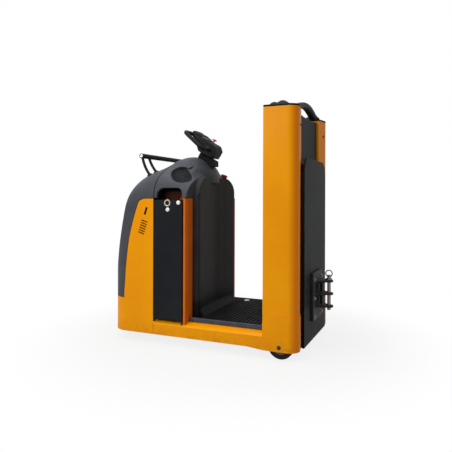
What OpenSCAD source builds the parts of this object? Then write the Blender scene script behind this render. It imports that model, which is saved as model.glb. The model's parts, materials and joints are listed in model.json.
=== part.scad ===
// Stand-on electric tow tractor.
// X runs forward, Y to the left and Z up, in millimetres from the floor.
// Inside the modules x is measured forward from the back of the rear columns.

/* [Overall] */
// Width over the front body, the sills and the column feet
body_w = 800; // [780:2:820]
// Front of the body, ahead of the back of the columns
front_x = 1252; // [1240:2:1270]
// Rear wall of the front body
wall_x = 700; // [695:1:705]
// Lower edge of the skirt and of the sills
skirt_z = 60; // [55:1:65]
// Thickness of the body panels
sheet = 5; // [4:0.5:6]

/* [Front body] */
// Plan radius of the two front corners
nose_r = 120; // [110:2:130]
// Height of the rounded shoulders
shoulder_h = 220; // [200:5:230]
// Joint between the front panels and the battery doors
seam_x = 926; // [922:1:930]
// Top of the yellow side panels
panel_top = 914; // [910:1:918]
// Lower edge of the dark hood band
band_z = 275; // [265:1:285]
// Crown height of the console dome above its foot
dome_h = 160; // [150:2:168]

/* [Platform] */
// Top of the sill ledge
sill_top = 150; // [146:1:154]
// Width of the sill ledge beside the standing platform
ledge_w = 48; // [44:1:56]
// Thickness of the rubber mat under its ribs
mat_t = 22; // [20:0.5:24]
// Pitch of the mat ribs
rib_pitch = 25; // [22:1:30]

/* [Columns] */
// Length of a rear column
col_len = 201; // [195:1:206]
// Width of a rear column
col_w = 168; // [160:1:176]
// Height of the yellow columns
col_top = 1440; // [1420:2:1460]
// Radius of the outer rear corner
col_r = 56; // [50:1:60]
// Slant of the rear faces
col_slant = 11; // [8:0.5:13]
// Top of the column feet
foot_top = 250; // [240:1:260]

/* [Wheels] */
// Radius of the rear wheels
load_r = 75; // [72:0.5:76]
// Rear axle position
load_x = 102; // [98:1:106]
// Radius of the drive wheel
drive_r = 115; // [110:1:118]
// Steering axis of the drive wheel
drive_x = 1075; // [1070:1:1080]

/* [Steering] */
// Lean of the steering axis toward the operator
steer_lean = 29; // [26:1:32]
// Half width of the hand loops
loop_half = 165; // [150:5:175]

/* [Tow coupling] */
// Spacing of the three jaw plates
jaw_pitch = 78; // [74:1:82]
// Radius of the tow pin
tow_pin_r = 11; // [9:0.5:13]
// Reach of the pin behind the columns
tow_reach = 98; // [94:1:104]

/* [Hidden] */
$fa = 4;
$fs = 2;
eps = 1;
half_w = body_w / 2;
seat = 0.2;
run = 0.3;
gap = 6;

// How far cutting outlines run past what they cut
past = 20;
cut_half = half_w + past;

// Rounded end of the jaw plates, which sets the lengthwise middle of the whole machine
jaw_end_r = 26;
x_mid = (front_x - tow_reach - jaw_end_r) / 2;

// Top line of the front body: distance behind the front, height
top_line = [
    [0, 300], [4, 415], [16, 566], [40, 711], [68, 836], [90, 930], [112, 1014],
    [142, 1056], [190, 1090], [250, 1114], [310, 1122], [362, 1116], [442, 1094], [552, 1064]
];
section_power = 2 / 2.6;
section_steps = 18;

// Edge of the yellow side panel against the hood band: x behind the front, height
panel_edge = [
    [262, 914], [232, 906], [212, 885], [181, 799], [150, 687], [132, 581], [114, 409], [111, 275]
];

// Air slots and charging slot in the front panels
vent_x = 1016;
vent_z = 694;
vent_count = 6;
vent_pitch = 15;
vent_len = 48;
vent_h = 8;
vent_tilt = 18;
vent_step = -vent_pitch * tan(vent_tilt);
slot_x = 983;
slot_z = 834;
slot_w = 15;
slot_h = 50;

// Console dome: middle and half axes
dome_x = 840;
dome_z = 1040;
dome_rx = 166;
dome_side = 168;
dome_ry = half_w - dome_side;

// Storage bowls in the shoulders of the cowl
bowl_x = 768;
bowl_side = 82;
bowl_y = half_w - bowl_side;
bowl_z = 1080;
bowl_r = [82, 84, 66];

// Arched openings above the battery doors
arch_x0 = 732;
arch_x1 = 904;
arch_top = 979;
arch_r = 46;

// Bulkhead moulding
wing_side = 50;
wing_half = half_w - ledge_w - wing_side;
wing_x = 659;
knee_x = 688;
knee_half = 40;
bulkhead_top = 1056;
bulkhead_r = 150;
wing_r = 18;
wing_face = 34;
// Toe board at its foot
toe_len = 30;
toe_h = 66;
toe_in = 30;
toe_edge = 4;
toe_back = 10;

// Posts and battery doors
post_t = 16;
post_cut = 6;
post_lap = 20;
bracket_in = 40;
bracket_h = 30;
bracket_step = 22;
bracket_end = 9;
bracket_gap = 4;
door_t = 14;
door_r = door_t / 2;
post_gap = 5;
door_axis_x = wall_x + post_t + post_gap + door_r;
door_axis_y = half_w - door_r;
door_low_gap = 12;
door_top_gap = 9;
door_z0 = sill_top + door_low_gap;
door_z1 = panel_top - door_top_gap;
hinge_pin_r = 4;
hinge_in = 18;
pin_seat = 20;
pin_end = 2;
lock_x = 825;
lock_z = 886;
lock_r = 14;
lock_depth = 6;
lock_ring = [8, 3];
knob_at = [[822, 845], [747, 888]];
knob_r = 13;
knob_h = 4;

// Battery
battery_back = 28;
battery_front = 24;
battery_side = 40;
battery_x0 = wall_x + battery_back;
battery_x1 = seam_x - battery_front;
battery_half = half_w - battery_side;
battery_top = 880;
// Cell caps on the battery: rows, columns, radius, height
cell_grid = [2, 8];
cell_r = 15;
cell_h = 10;

// Sills and floor
deck_half = half_w - ledge_w;
sill_lap = 8;
sill_in = deck_half - sill_lap;
floor_t = 10;
floor_x = 6;
floor_z = sill_top - floor_t;
ledge_drop = 12;
ledge_cut = 10;
ledge_lip = 4;
brace_w = 20;
lap_back = 30;
lap_front = 40;
lap_t = 10;
lap_up = 4;
switch_side = 102;
switch_at = [545, switch_side - deck_half];
switch_r = 20;
switch_h = 12;
switch_gap = 6;
mat_gap = 2;
mat_rib = 5;
rib_w = 11;
rib_in = 5;
rib_side = 6;
trim_t = 17;
trim_top = sill_top + mat_t + mat_rib;

// Columns
col_in = half_w - col_w;
col_inset = 4;
tuck = 0.05;
col_wall = 5;
cap_t = 12;
cap_lip = 2;
cap_side = 124;
cap_y = half_w - cap_side;
cap_w = 76;
// Raised grips on the caps: x, radius, height of the middle over the cap
cap_bumps = [[150, 34, -12], [100, 42, -14]];
bar_x = 56;
bar_rise = 58;
bar_bow = (col_in * col_in + bar_rise * bar_rise) / (2 * bar_rise);
bar_r = 19;
bar_top = col_top + bar_rise;
foot_wall = 12;
foot_z = 50;
foot_run = 90;
foot_r = 48;

// Rear wheels
load_w = 62;
load_side = 56;
load_y = half_w - load_side;
load_axle_r = 12;
load_edge = 6;
axle_step = 2;
axle_out = 4;
well_gap = 8;
well_over = 10;
load_gap = 7;
load_well = load_w / 2 + load_gap;

// Rear housing and plate
house_x0 = 36;
house_x1 = 190;
house_gap = 9;
house_top = col_top - bar_r - house_gap;
house_low = 1110;
house_slope = 30;
plate_t = 14;
plate_lap = 48;
plate_half = col_in + plate_lap;
plate_top = 1155;
plate_r = 90;
flange_t = 8;
flange_gap = 2;
pad_t = 46;
pad_h = 500;
pad_r = 36;
pad_side = 14;
pad_drop = 10;

// Coupling
base_t = 14;
base_half = 118;
base_z0 = 168;
base_z1 = 462;
base_r = 16;
jaw_t = 14;
jaw_half = 62;
jaw_mid = 327;
web_len = 22;
web_in = 18;
web_half = 6;

// Tow pin with its collar and lifting ring
pin_below = 16;
pin_above = 30;
eye_up = 20;
collar_up = 2;
collar_w = 7;
collar_h = 8;
ring_r = 20;
ring_wire = 3.5;
ring_sink = 1;

// Drive unit
drive_w = 76;
plate_z = 282;
drive_plate_t = 12;
drive_plate_end = 50;
hang_h = 40;
hang_t = 14;
king_r = 34;
king_up = 16;
table_r = 108;
table_t = 22;
table_gap = 6;
leg_t = 40;
leg_gap = 8;
cheek_r = 62;
cheek_half = 50;
drive_axle_r = 18;
axle_in = 10;
hub_web = 8;
tyre_t = 24;
tyre_edge = 8;
motor_r = 98;
motor_h = 260;
motor_bore_gap = 6;
motor_bore_h = 30;

// Steering head
head_x = 738;
head_z = 1262;
head_half = 58;
head_top = 46;
head_low = 44;
// Side view of the head, along and up from the steering axis
head_side = [[-90, -20], [-90, 14], [-74, 36], [-56, head_top], [70, head_top], [86, 34], [88, 8],
    [30, -head_low], [-58, -head_low], [-80, -36]];
neck_r = 34;
neck_len = 150;
shroud_x = [672, 770];
shroud_z = [1130, 1200];
shroud_half = 34;
stem_r = 16;
stem_low = 20;
stem_up = 30;
stem_gap = 2;
tube_r = 13;
heel_u = -40;
loop_in = 8;
loop_len = 175;
loop_rise = 13;
loop_bend = 32;

// Display and red knob on the head
display_u = 34;
display_half = [32, 40];
display_r = 16;
display_t = 8;
horn_u = -20;
horn_stem_r = 6;
horn_r = 16;
horn_up = 10;
horn_h = 12;

// Stop button on the cowl
stop_side = 178;
stop_at = [722, stop_side - half_w];
stop_base_r = 18;
stop_base_h = 14;
stop_r = 24;
stop_h = 22;

// Grab rail over the hood
rail_x = 1090;
rail_z = 1196;
rail_side = 125;
rail_half = half_w - rail_side;
rail_r = 16;
rail_end = 14;
leg_r = 9;
leg_lift = 3;
boss_r = 18;
boss_h = 7;
leg_foot_x = 1032;
leg_bow = 260;
leg_pitch = 80;
leg_y = [rail_half, rail_half - leg_pitch];

// Colours
yellow = [0.86, 0.55, 0.04];
hood_grey = [0.30, 0.31, 0.33];
black = [0.13, 0.13, 0.14];
rubber = [0.09, 0.09, 0.10];
trim_grey = [0.32, 0.33, 0.38];
steel = [0.60, 0.61, 0.62];
red = [0.65, 0.08, 0.08];
white = [0.85, 0.85, 0.83];

// Smooth curve through the rows of a table, with steps points to a stretch
function row(t, i) = t[max(0, min(len(t) - 1, i))];
function curve_at(a, b, c, d, u) =
    0.5 * (2 * b + (c - a) * u + (2 * a - 5 * b + 4 * c - d) * u * u + (3 * b - a - 3 * c + d) * u * u * u);
function curve(t, steps) = concat(
    [for (i = [0 : len(t) - 2]) for (k = [0 : steps - 1])
        curve_at(row(t, i - 1), row(t, i), row(t, i + 1), row(t, i + 2), k / steps)],
    [t[len(t) - 1]]);

// Front body form: one section for each station of the top line
function nose_w(b) = b >= nose_r ? half_w : half_w - nose_r + sqrt(nose_r * nose_r - pow(nose_r - b, 2));
function shoulder(z) = min(shoulder_h, 20 + 0.45 * (z - band_z));
function section(x, w, top, h, low) = concat(
    [[x, w, low]],
    [for (k = [0 : section_steps]) let (a = 180 * k / section_steps)
        [x, w * sign(cos(a)) * pow(abs(cos(a)), section_power), top - h + h * pow(sin(a), section_power)]],
    [[x, -w, low]]);

module body_form(inset) {
    line = curve(top_line, 2);
    n = len(line);
    m = section_steps + 3;
    span = front_x - wall_x;
    low = skirt_z - (inset > 0 ? eps : 0);
    pts = [for (i = [n - 1 : -1 : 0]) let (b = line[i][0] * span / top_line[len(top_line) - 1][0])
        each section(front_x - inset - b * (1 - 2 * inset / span), nose_w(b) - inset,
            line[i][1] - inset, shoulder(line[i][1]), low)];
    sides = [for (i = [0 : n - 2]) for (j = [0 : m - 1]) let (k = (j + 1) % m)
        each [[i * m + k, i * m + j, i * m + m + j], [i * m + k, i * m + m + j, i * m + m + k]]];
    ends = [[for (j = [0 : m - 1]) j], [for (j = [m - 1 : -1 : 0]) (n - 1) * m + j]];
    polyhedron(pts, concat(sides, ends));
}

// A point on the front body and the way its surface faces there
function line_rows() = [for (p = curve(top_line, 2)) [p[0], p[1]]];
function body_z(x, y) = let (b = front_x - x, top = lookup(b, line_rows()), h = shoulder(top))
    top - h + h * pow(1 - pow(abs(y) / nose_w(b), 2 / section_power), section_power / 2);
function on_body(x, y) = [x, y, body_z(x, y)];
function up_from(x, y) = let (
        d = sheet,
        n = [body_z(x - d, y) - body_z(x + d, y), body_z(x, y - d) - body_z(x, y + d), 2 * d])
    n / norm(n);

module body_shell() {
    difference() {
        body_form(0);
        body_form(sheet);
    }
}

// Side view outlines are drawn in x and z and run across the body
module across(w) {
    rotate([90, 0, 0]) translate([0, 0, -w]) linear_extrude(2 * w) children();
}

module panel_region() {
    edge = curve([for (p = panel_edge) [front_x - p[0], p[1]]], 3);
    across(cut_half) polygon(concat(
        [[seam_x, skirt_z - past], [seam_x, panel_top]], edge,
        [[front_x + past, band_z], [front_x + past, skirt_z - past]]));
}

module dome_form(inset) {
    translate([dome_x, 0, dome_z])
        scale([dome_rx - inset, dome_ry - inset, dome_h - inset]) sphere(1, $fn = 56);
}

module dome_cut() {
    intersection() {
        dome_form(0);
        box([0, -body_w, dome_z], [front_x, body_w, dome_z * 2]);
    }
}

module bowl_form(side, inset) {
    translate([bowl_x, side * bowl_y, bowl_z])
        scale([bowl_r[0] - inset, bowl_r[1] - inset, bowl_r[2] - inset]) sphere(1, $fn = 72);
}

// Plan and edge helpers
module round_rect(x0, y0, x1, y1, r) {
    translate([x0 + r, y0]) square([x1 - x0 - 2 * r, y1 - y0]);
    translate([x0, y0 + r]) square([x1 - x0, y1 - y0 - 2 * r]);
    for (x = [x0 + r, x1 - r], y = [y0 + r, y1 - r]) translate([x, y]) circle(r);
}

module box(a, b) {
    translate(a) cube(b - a);
}

module rod(a, b, r) {
    d = b - a;
    translate(a) rotate([0, acos(d[2] / norm(d)), atan2(d[1], d[0])]) cylinder(r = r, h = norm(d));
}

module sided(side) {
    if (side > 0) children();
    else mirror([0, 1, 0]) children();
}

// Chassis
module base_frame() {
    color(yellow) {
        for (side = [1, -1]) sided(side) {
            difference() {
                translate([col_len, 0, 0]) rotate([90, 0, 90]) linear_extrude(seam_x - col_len)
                    polygon([[half_w, skirt_z], [half_w, sill_top - ledge_drop - ledge_cut],
                        [half_w - ledge_cut, sill_top - ledge_drop], [deck_half + ledge_lip, sill_top],
                        [sill_in, sill_top], [sill_in, skirt_z]]);
                translate([door_axis_x, door_axis_y, sill_top - pin_seat])
                    cylinder(r = hinge_pin_r, h = 2 * pin_seat);
            }
            box([seam_x - lap_back, half_w - sheet - lap_t, skirt_z + lap_up],
                [seam_x + lap_front, half_w - sheet, sill_top - pin_seat]);
        }
        box([col_len, -sill_in, floor_z], [seam_x, sill_in, sill_top]);
        box([floor_x, -col_in, floor_z], [col_len + eps, col_in, sill_top]);
        for (x = [col_len + brace_w, wall_x - brace_w, seam_x - brace_w])
            box([x, -sill_in, skirt_z + brace_w], [x + brace_w, sill_in, floor_z + eps]);
    }
}

// Air slots and the charging slot in the sides of the front panels
module side_slots() {
    across(cut_half) {
        for (k = [0 : vent_count - 1]) translate([vent_x + k * vent_step, vent_z + k * vent_pitch])
            rotate([0, 0, vent_tilt]) square([vent_len, vent_h], center = true);
        translate([slot_x, slot_z]) rotate([0, 0, vent_tilt]) square([slot_w, slot_h], center = true);
    }
}

module front_panels() {
    color(yellow) difference() {
        intersection() {
            body_shell();
            panel_region();
        }
        side_slots();
    }
}

module front_hood() {
    color(hood_grey) difference() {
        body_shell();
        panel_region();
        box([wall_x - past, -body_w, 0], [seam_x, body_w, bowl_z * 2]);
        dome_cut();
    }
}

module arch_cut() {
    across(cut_half) round_rect(arch_x0, panel_top - 4 * arch_r, arch_x1, arch_top, arch_r);
}

module top_cowl() {
    color(hood_grey) difference() {
        intersection() {
            body_shell();
            box([wall_x - past, -body_w, panel_top], [seam_x, body_w, bowl_z * 2]);
        }
        arch_cut();
        dome_cut();
        for (side = [1, -1]) bowl_form(side, 0);
    }
}

module console_dome() {
    color(hood_grey) difference() {
        dome_form(0);
        dome_form(sheet);
        box([0, -body_w, 0], [front_x, body_w, dome_z]);
    }
}

module storage_bowls() {
    color(black) for (side = [1, -1]) difference() {
        intersection() {
            bowl_form(side, 0);
            body_form(0);
        }
        bowl_form(side, sheet);
    }
}

module corner_post(side) {
    color(yellow) sided(side) {
        difference() {
            box([wall_x, wing_half - post_lap, sill_top], [wall_x + post_t, half_w, panel_top]);
            translate([wall_x + post_t + eps, half_w + eps, 0]) rotate([0, 0, 45])
                box([-post_cut, -post_cut, 0], [post_cut, post_cut, panel_top * 2]);
        }
        box([wall_x, half_w - bracket_in, panel_top - bracket_h],
            [door_axis_x + bracket_end, half_w - sheet - bracket_step, panel_top]);
        difference() {
            box([wall_x + post_t - eps, half_w - bracket_in, door_z1 + bracket_gap],
                [door_axis_x + bracket_end, half_w - sheet, panel_top]);
            translate([door_axis_x, door_axis_y, 0]) cylinder(r = hinge_pin_r, h = panel_top * 2);
        }
    }
}

module corner_post_left() {
    corner_post(1);
}

module corner_post_right() {
    corner_post(-1);
}

module bulkhead() {
    color(black) difference() {
        intersection() {
            translate([0, 0, sill_top]) linear_extrude(bulkhead_top - sill_top) {
                polygon([[wall_x, -wing_half], [wing_x + wing_r, -wing_half], [wing_x, -wing_half + wing_r],
                    [wing_x, -wing_half + wing_face], [knee_x, -knee_half], [knee_x, knee_half],
                    [wing_x, wing_half - wing_face], [wing_x, wing_half - wing_r],
                    [wing_x + wing_r, wing_half], [wall_x, wing_half]]);
                for (y = [-1, 1]) translate([wing_x + wing_r, y * (wing_half - wing_r)]) circle(wing_r);
            }
            rotate([90, 0, 90]) linear_extrude(front_x)
                round_rect(-wing_half, sill_top - 2 * bulkhead_r, wing_half, bulkhead_top, bulkhead_r);
        }
        dome_cut();
    }
    color(black) across(wing_half - toe_in) polygon([[knee_x + eps, sill_top],
        [wing_x - toe_len, sill_top], [wing_x - toe_len, sill_top + mat_t + toe_edge],
        [wing_x + toe_back, sill_top + toe_h], [knee_x + eps, sill_top + toe_h]]);
}

module battery() {
    step_x = (battery_x1 - battery_x0) / cell_grid[0];
    step_y = 2 * battery_half / cell_grid[1];
    color(black) {
        box([battery_x0, -battery_half, sill_top], [battery_x1, battery_half, battery_top]);
        for (i = [0 : cell_grid[0] - 1], j = [0 : cell_grid[1] - 1])
            translate([battery_x0 + (i + 0.5) * step_x, (j + 0.5) * step_y - battery_half, battery_top - eps])
                cylinder(r = cell_r, h = cell_h + eps);
    }
}

module battery_door(side) {
    color(black) sided(side) difference() {
        union() {
            box([door_axis_x, half_w - door_t, door_z0], [seam_x - gap, half_w, door_z1]);
            translate([door_axis_x, door_axis_y, door_z0]) cylinder(r = door_r, h = door_z1 - door_z0);
        }
        for (z = [door_z0 - eps, door_z1 - hinge_in - eps]) translate([door_axis_x, door_axis_y, z])
            cylinder(r = hinge_pin_r + run, h = hinge_in + 2 * eps);
        translate([lock_x, half_w + eps, lock_z]) rotate([90, 0, 0])
            cylinder(r = lock_r, h = lock_depth + eps);
    }
}

module battery_door_left() {
    battery_door(1);
}

module battery_door_right() {
    battery_door(-1);
}

module door_lock(side) {
    color(steel) sided(side) translate([lock_x, half_w, lock_z]) rotate([-90, 0, 0])
        rotate_extrude() translate([lock_r, 0]) square(lock_ring);
}

module door_lock_left() {
    door_lock(1);
}

module door_lock_right() {
    door_lock(-1);
}

module door_knobs(side) {
    color(white) sided(side) for (p = knob_at) translate([p[0], half_w, p[1]]) rotate([-90, 0, 0])
        cylinder(r = knob_r, h = knob_h);
}

module door_knobs_left() {
    door_knobs(1);
}

module door_knobs_right() {
    door_knobs(-1);
}

module hinge_pins() {
    color(steel) for (side = [1, -1]) sided(side) {
        translate([door_axis_x, door_axis_y, sill_top - pin_seat])
            cylinder(r = hinge_pin_r, h = door_z0 + hinge_in - pin_end - sill_top + pin_seat);
        translate([door_axis_x, door_axis_y, door_z1 - hinge_in + pin_end])
            cylinder(r = hinge_pin_r, h = panel_top - door_z1 + hinge_in - pin_end);
    }
}

// Standing platform
module platform_mat() {
    x0 = col_len + mat_gap;
    x1 = wing_x - toe_len - mat_gap;
    color(rubber) {
        box([x0, -deck_half + trim_t, sill_top], [x1, deck_half - trim_t, sill_top + mat_t]);
        difference() {
            for (x = [x0 + rib_in : rib_pitch : x1 - rib_in - rib_w])
                box([x, -deck_half + trim_t + rib_side, sill_top + mat_t - eps],
                    [x + rib_w, deck_half - trim_t - rib_side, sill_top + mat_t + mat_rib]);
            translate([switch_at[0], switch_at[1], sill_top + mat_t])
                cylinder(r = switch_r + switch_gap, h = past);
        }
    }
}

module edge_trims() {
    color(trim_grey) for (side = [1, -1]) sided(side)
        box([col_len + mat_gap, deck_half - trim_t, sill_top], [wall_x - mat_gap, deck_half, trim_top]);
}

module foot_switch() {
    color(steel) translate([switch_at[0], switch_at[1], sill_top + mat_t])
        cylinder(r = switch_r, h = switch_h);
}

// Grab rail
// Round bar bent to an arc between two points given in x and z
module arc_bar(a, b, bow, r) {
    d = b - a;
    c = (a + b) / 2 + [-d[1], d[0]] / norm(d) * sqrt(bow * bow - d * d / 4);
    t0 = atan2(a[1] - c[1], a[0] - c[0]);
    t1 = atan2(b[1] - c[1], b[0] - c[0]);
    rotate([90, 0, 0]) translate([c[0], c[1], 0]) rotate([0, 0, t0]) rotate_extrude(angle = t1 - t0)
        translate([bow, 0]) circle(r);
}

module grab_rail() {
    color(hood_grey) {
        rod([rail_x, -rail_half - rail_end, rail_z], [rail_x, rail_half + rail_end, rail_z], rail_r);
        for (side = [1, -1], y = leg_y) {
            p = on_body(leg_foot_x, side * y);
            n = up_from(leg_foot_x, side * y);
            translate([0, side * y, 0]) arc_bar([p[0], p[2] + leg_lift], [rail_x, rail_z], leg_bow, leg_r);
            rod(p + seat * n, p + boss_h * n, boss_r);
        }
    }
}

// Steering
module on_axis() {
    translate([head_x, 0, head_z]) rotate([0, -steer_lean, 0]) children();
}

module steer_neck() {
    color(black) {
        difference() {
            intersection() {
                union() {
                    on_axis() translate([0, 0, -neck_len]) cylinder(r = neck_r, h = neck_len);
                    box([shroud_x[0], -shroud_half, shroud_z[0]], [shroud_x[1], shroud_half, shroud_z[1]]);
                }
                on_axis() box([-neck_len, -neck_len, -2 * neck_len], [neck_len, neck_len, -head_low - gap]);
            }
            dome_cut();
        }
        on_axis() translate([0, 0, -head_low - stem_low]) cylinder(r = stem_r, h = stem_low + stem_up);
    }
}

// Closed hand loop of round tube, lying in its own plane
module tube_ring(u0, v0, u1, v1, bend, r) {
    for (v = [v0, v1]) rod([u0 + bend, v, 0], [u1 - bend, v, 0], r);
    for (u = [u0, u1]) rod([u, v0 + bend, 0], [u, v1 - bend, 0], r);
    corners = [[u1 - bend, v1 - bend, 0], [u0 + bend, v1 - bend, 90], [u0 + bend, v0 + bend, 180],
        [u1 - bend, v0 + bend, 270]];
    for (c = corners) translate([c[0], c[1], 0]) rotate([0, 0, c[2]]) rotate_extrude(angle = 90)
        translate([bend, 0]) circle(r);
}

module steer_head() {
    color(black) on_axis() difference() {
        union() {
            across(head_half) polygon(head_side);
            for (side = [1, -1]) sided(side) translate([heel_u, 0, 0]) rotate([0, -loop_rise, 0])
                tube_ring(0, head_half - loop_in, loop_len, loop_half, loop_bend, tube_r);
        }
        translate([0, 0, -head_low - eps]) cylinder(r = stem_r + run, h = stem_up + stem_gap + eps);
    }
}

module steer_display() {
    color(trim_grey) on_axis() translate([display_u, 0, head_top]) linear_extrude(display_t)
        round_rect(-display_half[0], -display_half[1], display_half[0], display_half[1], display_r);
}

module horn_knob() {
    color(red) on_axis() translate([horn_u, 0, head_top]) {
        cylinder(r = horn_stem_r, h = horn_up + eps);
        translate([0, 0, horn_up]) cylinder(r = horn_r, h = horn_h);
    }
}

module stop_base() {
    p = on_body(stop_at[0], stop_at[1]);
    color(black) rod(p, p + stop_base_h * up_from(stop_at[0], stop_at[1]), stop_base_r);
}

module stop_button() {
    p = on_body(stop_at[0], stop_at[1]);
    n = up_from(stop_at[0], stop_at[1]);
    color(red) rod(p + stop_base_h * n, p + (stop_base_h + stop_h) * n, stop_r);
}

// Rear columns
// Rear face of a column at a distance from the middle of the machine
function column_back(y) = col_r * (1 - cos(col_slant))
    + (half_w - col_inset - col_r * (1 + sin(col_slant)) - y) * tan(col_slant);

module column_plan(inset, inner) {
    r = col_r - inset;
    cx = col_r;
    cy = half_w - col_inset - col_r;
    y_in = col_in + inner;
    tx = cx - r * cos(col_slant);
    ty = cy - r * sin(col_slant);
    x1 = col_len - inner;
    polygon([[x1, y_in], [x1, cy + r], [cx, cy + r], [cx, cy], [tx + tuck, ty],
        [tx + (ty - y_in) * tan(col_slant), y_in]]);
    translate([cx, cy]) circle(r);
}

module column(side) {
    color(yellow) sided(side) translate([0, 0, foot_top]) linear_extrude(col_top - foot_top) difference() {
        column_plan(0, 0);
        column_plan(col_wall, col_wall);
    }
}

module column_left() {
    column(1);
}

module column_right() {
    column(-1);
}

module foot(side) {
    color(yellow) sided(side) difference() {
        union() {
            translate([0, 0, foot_z]) linear_extrude(foot_top - foot_z) column_plan(-col_inset, seat);
            translate([0, half_w, 0]) rotate([90, 0, 0]) linear_extrude(half_w - sill_in)
                polygon([[col_len - eps, foot_z], [col_len - eps, skirt_z], [col_len + foot_run, skirt_z]]);
        }
        box([load_x - load_r - well_gap, load_y - load_well, 0],
            [load_x + load_r + well_gap, load_y + load_well, load_r * 2 + well_over]);
        translate([load_x, 0, load_r]) rotate([-90, 0, 0]) cylinder(r = load_axle_r, h = body_w);
        foot_corner();
    }
}

// Rounded front corner of the raised outer face
module foot_corner() {
    translate([col_len - foot_r, half_w + past, foot_top - foot_r]) rotate([90, 0, 0])
        linear_extrude(past + col_inset) difference() {
            square(foot_r + eps);
            circle(foot_r);
        }
}

module foot_left() {
    foot(1);
}

module foot_right() {
    foot(-1);
}

module column_caps() {
    color(black) for (side = [1, -1]) sided(side) {
        translate([0, 0, col_top]) linear_extrude(cap_t) column_plan(-cap_lip, 0);
        translate([0, cap_y + cap_w, col_top + cap_t]) rotate([90, 0, 0]) linear_extrude(cap_w)
            intersection() {
                for (b = cap_bumps) translate([b[0], b[2]]) circle(b[1]);
                translate([0, -eps]) square([col_len, 3 * cap_t]);
            }
    }
}

module hand_bar() {
    a = asin((col_in - seat) / bar_bow);
    color(black) intersection() {
        translate([bar_x, 0, bar_top - bar_bow]) rotate([0, -90, 0]) rotate([0, 0, -a - 10])
            rotate_extrude(angle = 2 * a + 20) translate([bar_bow, 0]) circle(bar_r);
        box([0, -col_in + seat, col_top - 4 * bar_r], [col_len, col_in - seat, col_top * 2]);
    }
}

// Rear housing between the columns
module housing_side(t) {
    low = sill_top - (t > 0 ? eps : 0);
    polygon([[t, low], [t, house_low - t], [house_x0 + t, house_low + house_slope - t],
        [house_x0 + t, house_top - t], [house_x1 - t, house_top - t], [house_x1 - t, low]]);
}

module rear_housing() {
    color(black) difference() {
        across(col_in) housing_side(0);
        across(col_in - sheet) housing_side(sheet);
    }
}

module back_cushion() {
    color(rubber) translate([house_x1, 0, 0]) rotate([90, 0, 90]) linear_extrude(pad_t)
        round_rect(pad_side - col_in, house_top - pad_drop - pad_h, col_in - pad_side,
            house_top - pad_drop, pad_r);
}

module rear_plate() {
    color(black) {
        translate([-plate_t, 0, 0]) rotate([90, 0, 90]) linear_extrude(plate_t) {
            round_rect(-plate_half, foot_z, plate_half, plate_top, plate_r);
            translate([-plate_half, foot_z]) square([2 * plate_half, 2 * plate_r]);
        }
        for (side = [1, -1]) sided(side)
            box([-eps, plate_half - flange_t, foot_top + seat],
                [column_back(plate_half - flange_t / 2) - flange_gap, plate_half, plate_top - plate_r]);
    }
}

// Tow coupling
module coupling() {
    color(black) difference() {
        union() {
            translate([-plate_t - base_t, 0, 0]) rotate([90, 0, 90]) linear_extrude(base_t)
                round_rect(-base_half, base_z0, base_half, base_z1, base_r);
            for (k = [-1, 0, 1]) translate([0, 0, jaw_mid + k * jaw_pitch - jaw_t / 2])
                linear_extrude(jaw_t) {
                    polygon([[-plate_t - base_t + eps, -jaw_half], [-plate_t - base_t + eps, jaw_half],
                        [-tow_reach, jaw_end_r], [-tow_reach, -jaw_end_r]]);
                    translate([-tow_reach, 0]) circle(jaw_end_r);
                }
            for (y = [web_in - jaw_half, jaw_half - web_in])
                box([-plate_t - base_t - web_len, y - web_half, jaw_mid - jaw_pitch],
                    [-plate_t - base_t + eps, y + web_half, jaw_mid + jaw_pitch]);
        }
        translate([-tow_reach, 0, 0]) cylinder(r = tow_pin_r + run, h = base_z1 * 2);
    }
}

module tow_pin() {
    z0 = jaw_mid - jaw_pitch - jaw_t / 2 - pin_below;
    z1 = jaw_mid + jaw_pitch + jaw_t / 2;
    color(steel) translate([-tow_reach, 0, 0]) {
        difference() {
            union() {
                translate([0, 0, z0]) cylinder(r = tow_pin_r, h = z1 + pin_above - z0);
                translate([0, 0, z1 + collar_up]) cylinder(r = tow_pin_r + collar_w, h = collar_h);
            }
            translate([0, 0, z1 + eye_up]) rotate([90, 0, 0])
                cylinder(r = ring_wire, h = 4 * tow_pin_r, center = true);
        }
        translate([0, 0, z1 + eye_up + ring_r - ring_sink]) rotate([0, 90, 90])
            rotate_extrude() translate([ring_r, 0]) circle(ring_wire);
    }
}

// Rear wheels
// Ring with bevelled outer edges, standing on its side
module tread_ring(bore, r, w, edge) {
    rotate_extrude() polygon([[bore, 0], [r - edge, 0], [r, edge], [r, w - edge], [r - edge, w], [bore, w]]);
}

module load_axles() {
    color(steel) for (side = [1, -1]) sided(side) translate([load_x, 0, load_r]) rotate([-90, 0, 0]) {
        inner = load_y - load_well - foot_wall;
        translate([0, 0, inner]) cylinder(r = load_axle_r, h = half_w - inner);
        translate([0, 0, half_w]) cylinder(r = load_axle_r - axle_step, h = axle_out);
    }
}

module load_wheel(side) {
    color(rubber) sided(side) translate([load_x, load_y - load_w / 2, load_r]) rotate([-90, 0, 0])
        tread_ring(load_axle_r + run, load_r, load_w, load_edge);
}

module load_wheel_left() {
    load_wheel(1);
}

module load_wheel_right() {
    load_wheel(-1);
}

// Drive unit
module drive_plate() {
    color(black) difference() {
        union() {
            box([seam_x, sheet + seat - half_w, plate_z],
                [drive_x + drive_plate_end, half_w - sheet - seat, plate_z + drive_plate_t]);
            box([seam_x, -sill_in, floor_z - hang_h], [seam_x + hang_t, sill_in, plate_z + eps]);
        }
        translate([drive_x, 0, 0]) cylinder(r = king_r + run, h = plate_z * 2);
    }
}

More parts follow.
